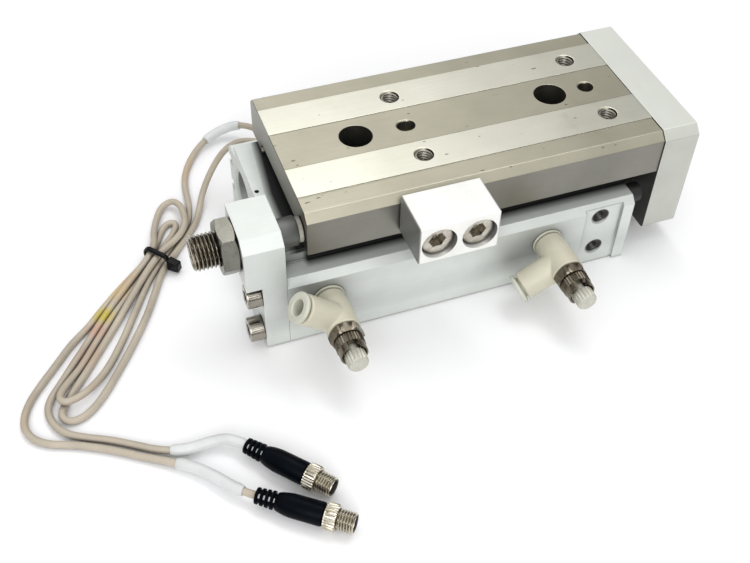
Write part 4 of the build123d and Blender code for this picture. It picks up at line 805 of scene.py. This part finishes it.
class SLIDETABLE_OT_threads(bpy.types.Operator):
    """Make the threads in the tapped holes."""
    bl_idname = "slidetable.threads"
    bl_label = "Tapped Threads"

    def execute(self, _context):
        table = [tapped_shell(3.4, 11.8, 1.25, (x, y, TABLE_TOP_Z), (0, 0, 1), 0.6)
                 for x in TABLE_TAPS_X for y in TABLE_TAPS_Y]
        pad = [tapped_shell(2.5, 7.8, 1.0, (*PAD_HOLE, z), (0, -1, 0), 0.9) for z in PAD_HOLES_Z]
        plate = [tapped_shell(2.5, 11.8, 1.0, (PLATE_FRONT_X, y, z), (1, 0, 0), 0.6)
                 for y, z in PLATE_TAPS]
        for name, shells, body, finish in (("table_threads", table, "table", "thread"),
                                           ("pad_threads", pad, BODY, "pad_thread"),
                                           ("plate_threads", plate, "table", "thread")):
            piece = show(name, *join_shells(shells), FINISH[finish], 50)
            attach(piece, body)
        return {"FINISHED"}


class SLIDETABLE_OT_controllers(bpy.types.Operator):
    """Make the visible pieces of the two elbow speed controllers."""
    bl_idname = "slidetable.controllers"
    bl_label = "Speed Controllers"

    def execute(self, _context):
        for end, x in zip(("rear", "front"), PORT_X):
            at = (x, PORT_Y, PORT_Z)
            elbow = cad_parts["controller_elbow_" + end]
            dress([elbow.name], FINISH["resin"])
            weld = elbow.modifiers.new("Weld", "WELD")
            weld.merge_threshold = WELD_REACH
            flow = elbow.modifiers.new("Moulding", "REMESH")
            flow.mode = "VOXEL"
            flow.voxel_size = 0.00026
            flow.use_smooth_shade = True
            ease = elbow.modifiers.new("Fillets", "SMOOTH")
            ease.factor = 0.5
            ease.iterations = 7
            dress(["release_collar_" + end], FINISH["collar"], 0.3 * MM, 25.0)
            dress(["needle_lock_nut_" + end], FINISH["nickel"], 0.08 * MM, 45.0)
            flats = hexed(12.0)
            corner = 6.0 / cos(radians(30))
            rows = [(2.2, -8.4), (3.9, -8.5), (4.25, -8.1), (4.25, 0), (4.6, 0), (4.6, 19.4),
                    (5.7, 19.4), (6.05, 19.42), (corner + 0.02, 19.95, flats),
                    (corner + 0.02, 23.0, flats), (6.1, 23.55, flats), (5.7, 23.6), (3.35, 23.6),
                    (3.2, 23.75), (3.2, 26.8), (3.0, 27.0), (2.5, 27.0), (2.5, 17.2), (1.0, 17.0),
                    (1.0, 14.6), (2.2, 14.6)]
            stem = show("stem_" + end, *turned_shell(rows, at, (0, -1, 0), 72, closed=True),
                        FINISH["nickel"], 30)
            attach(stem, BODY)
            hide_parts("controller_stem_" + end)
            grip = ribbed(20, 0.36, 0.7)
            rows = [(0, 15.6), (0.8, 15.7), (0.8, 17.0), (2.35, 19.0), (2.35, 30.3), (3.5, 30.3),
                    (3.9, 30.5, grip), (4.15, 30.8, grip), (4.15, 35.0, grip), (4.0, 35.4, grip),
                    (3.65, 35.75), (3.35, 35.9), (3.2, 35.78), (3.0, 35.75), (0, 35.78)]
            knob = show("knob_" + end, *turned_shell(rows, at, (0, -1, 0), 120), FINISH["knob"], 40)
            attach(knob, "needle_" + end)
            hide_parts("needle_knob_" + end)
        return {"FINISHED"}


def lead_curve(name, points, diameter, finish):
    """Round lead whose line is a smooth NURBS spline through given points."""
    data = bpy.data.curves.new(name, "CURVE")
    data.dimensions = "3D"
    data.bevel_depth = diameter / 2
    data.bevel_resolution = 5
    data.resolution_u = 8
    data.use_fill_caps = True
    spline = data.splines.new("NURBS")
    spline.points.add(len(points) - 1)
    for spot, point in zip(spline.points, points):
        spot.co = (*(Vector(point) * MM), 1.0)
    spline.order_u = 3
    spline.use_endpoint_u = True
    data.materials.append(finish)
    return put(name, data)


def lead_line(piece):
    """Points of a lead's own spline, in metres."""
    bare = piece.data.copy()
    bare.bevel_depth = 0.0
    carrier = bpy.data.objects.new("line", bare)
    mesh = bpy.data.meshes.new_from_object(carrier)
    points = [v.co.copy() for v in mesh.vertices]
    bpy.data.objects.remove(carrier)
    bpy.data.meshes.remove(mesh)
    bpy.data.curves.remove(bare)
    return points


def stretch_of(points, first, last):
    """The part of a line between the points nearest to two spots in millimetres."""
    def nearest(spot):
        spot = Vector(spot) * MM
        return min(range(len(points)), key=lambda i: (points[i] - spot).length)
    return points[nearest(first):nearest(last) + 1]


def boot_shell(at, along):
    """Boot with a slotted strain relief and a smooth tapered body."""
    body, tail = 4.3, 2.55

    def window(angle, radius, _height):
        """Groove that opens to the lead on two sides."""
        off = abs((angle - radians(32) + pi / 2) % pi - pi / 2)
        return 1.6 if off < radians(23) else radius
    rows = [(0, 0.0), (1.5, 0.0)]
    for i in range(4):
        h = 0.05 + i * 1.9
        rows += [(tail + 0.25, h), (tail + 0.45 + 0.12 * i, h + 0.12),
                 (tail + 0.5 + 0.12 * i, h + 0.95), (tail + 0.25, h + 1.1),
                 (tail - 0.1, h + 1.15, window), (tail - 0.1, h + 1.78, window)]
    rows += [(tail + 0.45, 7.7), (3.3, 8.0), (3.75, 9.6), (4.08, 11.4), (body, 13.4),
             (body, 16.0), (body + 0.02, 24.4), (body - 0.25, 25.0), (body - 0.7, 25.2), (0, 25.2)]
    return turned_shell(rows, at, along, 64)


class SLIDETABLE_OT_connectors(bpy.types.Operator):
    """Make the boots, coupling rings and contact inserts of the leads."""
    bl_idname = "slidetable.connectors"
    bl_label = "Lead Connectors"

    def execute(self, _context):
        for letter, ((x, y), heading) in CONNECTORS.items():
            turn = radians(heading)
            along = (cos(turn), sin(turn), 0.0)
            at = (x, y, CONNECTOR_Z)
            core = turned_shell([(0, 0.3), (2.0, 0.3), (2.0, 7.2), (0, 7.2)], at, along, 32)
            core = show("core_" + letter, *core, FINISH["sleeve"], 40)
            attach(core, BODY)
            boot = show("boot_" + letter, *boot_shell(at, along), FINISH["boot"], 40)
            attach(boot, BODY)
            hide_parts("connector_boot_" + letter)
            knurl = ribbed(30, 0.35, 0.8)
            rows = [(3.2, 25.5), (4.35, 25.5), (4.75, 25.7), (4.85, 26.0, knurl),
                    (4.9, 26.3, knurl), (4.9, 29.5, knurl), (4.6, 29.95), (4.3, 30.1)]
            rows += thread_rows(3.9, 30.15, 36.3, 1.0, 0.55, 0.5)
            rows += [(3.3, 36.5), (3.2, 36.4)]
            ring = show("coupling_" + letter, *turned_shell(rows, at, along, 120, closed=True),
                        FINISH["ring"], 40)
            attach(ring, "ring_" + letter)
            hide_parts("coupling_ring_" + letter)
            rows = [(0, 25.2), (3.1, 25.2), (3.1, 36.3), (2.9, 36.5), (2.6, 36.3), (2.5, 31.5),
                    (0, 31.5)]
            insert = show("insert_" + letter, *turned_shell(rows, at, along, 40),
                          FINISH["insert"], 40)
            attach(insert, BODY)
            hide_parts("connector_insert_" + letter)
            pins = []
            place = axis_frame(at, along)
            for k in range(3):
                angle = radians(90 + 120 * k)
                spot = place @ Vector((1.4 * cos(angle), 1.4 * sin(angle), 0))
                pins.append(turned_shell([(0, 31.4), (0.5, 31.4), (0.5, 35.0), (0.3, 35.3),
                                          (0, 35.4)], spot, along, 16))
            contacts = show("contacts_" + letter, *join_shells(pins), FINISH["contact"], 40)
            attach(contacts, BODY)
        return {"FINISHED"}


class SLIDETABLE_OT_leads(bpy.types.Operator):
    """Lay the two sensor leads with their turns, sleeves and tie."""
    bl_idname = "slidetable.leads"
    bl_label = "Sensor Leads"

    def execute(self, context):
        sizes = context.scene.slidetable_sizes
        radius = sizes.sleeve_diameter / 2
        routes = {
            "a": LEAD_A_UPPER + [lead_point(p) for p in TURNS_A] + LEAD_A_LOWER,
            "b": LEAD_B_UPPER + [lead_point(p) for p in TURNS_B] + LEAD_B_LOWER}
        sleeves = {
            "a": [((-60.5, 85.9, 7.3), (-77.9, 84.7, 3.6)),
                  ((-130.5, -87.2, 2.5), (-110.8, -108.3, 4.9))],
            "b": [((-131.0, -81.3, 2.6), (-105.0, -89.8, 4.9))]}
        for letter, route in routes.items():
            lead = lead_curve("lead_" + letter, route, sizes.lead_diameter, FINISH["lead"])
            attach(lead, BODY)
            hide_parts("lead_%s_upper" % letter, "lead_%s_lower" % letter, "lead_hank")
            line = lead_line(lead)
            for number, (first, last) in enumerate(sleeves[letter]):
                part = stretch_of(line, first, last)

                def flare(share):
                    pinch = min(share, 1 - share)
                    return radius * (1 - 0.16 * exp(-pinch * 60))
                sleeve = show("sleeve_%s_%d" % (letter, number), *tube_along(part, flare, 24),
                              FINISH["sleeve"], 60, 1.0)
                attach(sleeve, BODY)
                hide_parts("lead_sleeves")
        self.tie()
        return {"FINISHED"}

    def tie(self):
        """Black tie round the bundle, with its head."""
        place = Matrix.Translation((*TIE_AT, 0)) @ Matrix.Rotation(TIE_HEADING, 4, "Z")
        half, low, high, round_off = 6.35, 0.55, 6.5, 2.8
        path = []
        for cx, cz, start in ((half - round_off, high - round_off, 0),
                              (round_off - half, high - round_off, 90),
                              (round_off - half, low + round_off, 180),
                              (half - round_off, low + round_off, 270)):
            for k in range(7):
                a = radians(start + 15 * k)
                path.append((cx + round_off * cos(a), cz + round_off * sin(a)))
        verts, faces = [], []
        section = [(-1.35, -0.5), (-1.0, 0.5), (1.0, 0.5), (1.35, -0.5)]
        path = [(y, z + 0.7 * (1 - (y / half) ** 2) if z > 3.6 else z) for y, z in path]
        for i, (y, z) in enumerate(path):
            ny, nz = path[(i + 1) % len(path)]
            py, pz = path[i - 1]
            out = Vector((nz - pz, py - ny)).normalized()
            lean = 1.1 * (y / half)
            for s, n in section:
                verts.append(place @ Vector((s + lean, y + out.x * n, z + out.y * n)))
        count = len(path)
        for i in range(count):
            for k in range(4):
                a, b = i * 4 + k, i * 4 + (k + 1) % 4
                c, d = ((i + 1) % count) * 4 + (k + 1) % 4, ((i + 1) % count) * 4 + k
                faces.append([a, b, c, d])
        head = [(-2.0, 6.2, 1.4), (2.0, 6.2, 1.4), (1.8, 11.3, 1.2), (-1.8, 11.3, 1.2),
                (-2.0, 6.2, 6.5), (2.0, 6.2, 6.5), (1.8, 11.2, 5.4), (-1.8, 11.2, 5.4)]
        base = len(verts)
        verts += [place @ Vector((x + 1.3, y, z)) for x, y, z in head]
        for face in ((0, 1, 2, 3), (7, 6, 5, 4), (4, 5, 1, 0), (5, 6, 2, 1), (6, 7, 3, 2),
                     (7, 4, 0, 3)):
            faces.append([base + i for i in face])
        tie = show("tie", verts, faces, FINISH["tie"], 30)
        edge = tie.modifiers.new("Edges", "BEVEL")
        edge.width = 0.5 * MM
        edge.segments = 4
        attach(tie, BODY)
        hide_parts("cable_tie")


def soft_light(name, place, aim, size, power):
    """Area light at a point in metres, aimed at another."""
    data = bpy.data.lights.new(name, "AREA")
    data.shape = "RECTANGLE"
    data.size, data.size_y = size
    data.energy = power
    lamp = put(name, data)
    lamp.location = place
    lamp.rotation_euler = (Vector(aim) - Vector(place)).to_track_quat("-Z", "Y").to_euler()


def studio_world():
    """Surroundings that grow brighter with height, with one darker side."""
    world = bpy.data.worlds.new("studio")
    world.use_nodes = True
    tree = world.node_tree
    way = add_node(tree, "ShaderNodeTexCoord").outputs["Generated"]
    height = add_node(tree, "ShaderNodeSeparateXYZ", Vector=way).outputs["Z"]
    ramp = add_node(tree, "ShaderNodeValToRGB", Fac=height)
    stops = ramp.color_ramp.elements
    for stop, (position, level) in zip(stops, (STUDIO_STOPS[0], STUDIO_STOPS[-1])):
        stop.position, stop.color = position, (level, level, level, 1)
    for position, level in STUDIO_STOPS[1:-1]:
        stops.new(position).color = (level, level, level, 1)
    aside = add_node(tree, "ShaderNodeVectorMath", operation="DOT_PRODUCT", _0=way, _1=DIM_SIDE)
    fade = add_node(tree, "ShaderNodeMapRange", Value=aside.outputs["Value"], From_Min=0.92,
                    From_Max=0.995, To_Min=1.0, To_Max=0.15)
    dimmed = add_node(tree, "ShaderNodeVectorMath", operation="SCALE", _0=ramp.outputs[0],
                      Scale=fade.outputs[0])
    feed(tree, tree.nodes["Background"].inputs["Color"], dimmed.outputs[0])
    tree.nodes["Background"].inputs["Strength"].default_value = 1.0
    return world


def photo_camera():
    """Camera with the photograph's place, turn and lens."""
    data = bpy.data.cameras.new("camera")
    data.lens = CAMERA_LENS
    data.sensor_width = 36.0
    data.clip_start = 0.01
    camera = put("camera", data)
    azimuth, elevation, roll = (radians(a) for a in CAMERA_TURN)
    ahead = Vector((sin(azimuth) * cos(elevation),
                    cos(azimuth) * cos(elevation), -sin(elevation)))
    right = Vector((cos(azimuth), -sin(azimuth), 0))
    down = ahead.cross(right)
    x = right * cos(roll) + down * sin(roll)
    y = right * sin(roll) - down * cos(roll)
    basis = Matrix((x, y, -ahead)).transposed().to_4x4()
    camera.matrix_world = Matrix.Translation(Vector(CAMERA_AT) * MM) @ basis
    return camera


class SLIDETABLE_OT_stage(bpy.types.Operator):
    """Make the floor, the soft lights and the camera."""
    bl_idname = "slidetable.stage"
    bl_label = "Stage"

    def execute(self, context):
        scene = context.scene
        f = Finish("studio_floor")
        f.set(Base_Color=f.mix(f.spread(f.noise(3.0, 2.0), 0.3, 0.7, 0.0, 0.5),
                               tone(scene.slidetable_colours.floor),
                               tone(scene.slidetable_colours.floor, 0.98)),
              Roughness=0.7, Specular_IOR_Level=0.2)
        corners = [(-FLOOR_HALF, -FLOOR_HALF, 0), (FLOOR_HALF, -FLOOR_HALF, 0),
                   (FLOOR_HALF, FLOOR_HALF, 0), (-FLOOR_HALF, FLOOR_HALF, 0)]
        floor = show("floor", corners, [[0, 1, 2, 3]], f.material, 30, 1.0)
        scene.world = studio_world()
        for light in LIGHTS:
            soft_light(*light)
        scene.camera = photo_camera()
        scene.view_settings.view_transform = "Standard"
        return {"FINISHED"}


class SLIDETABLE_PT_panel(bpy.types.Panel):
    """Panel with one button for each piece."""
    bl_idname = "SLIDETABLE_PT_panel"
    bl_label = "Slide Table"
    bl_space_type = "VIEW_3D"
    bl_region_type = "UI"
    bl_category = "Slide Table"

    def draw(self, context):
        for group in (context.scene.slidetable_sizes, context.scene.slidetable_colours):
            for name in group.__annotations__:
                self.layout.prop(group, name)
        for operator in OPERATORS:
            self.layout.operator(operator.bl_idname)


OPERATORS = (
    SLIDETABLE_OT_finishes, SLIDETABLE_OT_stop, SLIDETABLE_OT_screws, SLIDETABLE_OT_threads,
    SLIDETABLE_OT_controllers, SLIDETABLE_OT_connectors, SLIDETABLE_OT_leads, SLIDETABLE_OT_stage)
CLASSES = (SLIDETABLE_PG_sizes, SLIDETABLE_PG_colours, *OPERATORS, SLIDETABLE_PT_panel)


def register():
    """Add the classes and the scene's properties."""
    for made in CLASSES:
        bpy.utils.register_class(made)
    bpy.types.Scene.slidetable_sizes = bpy.props.PointerProperty(type=SLIDETABLE_PG_sizes)
    bpy.types.Scene.slidetable_colours = bpy.props.PointerProperty(type=SLIDETABLE_PG_colours)


def unregister():
    """Take the classes and the scene's properties away."""
    del bpy.types.Scene.slidetable_colours
    del bpy.types.Scene.slidetable_sizes
    for made in reversed(CLASSES):
        bpy.utils.unregister_class(made)


def main():
    """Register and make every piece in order."""
    register()
    for operator in OPERATORS:
        getattr(bpy.ops.slidetable, operator.bl_idname.split(".")[1])()


if __name__ == "__main__":
    main()
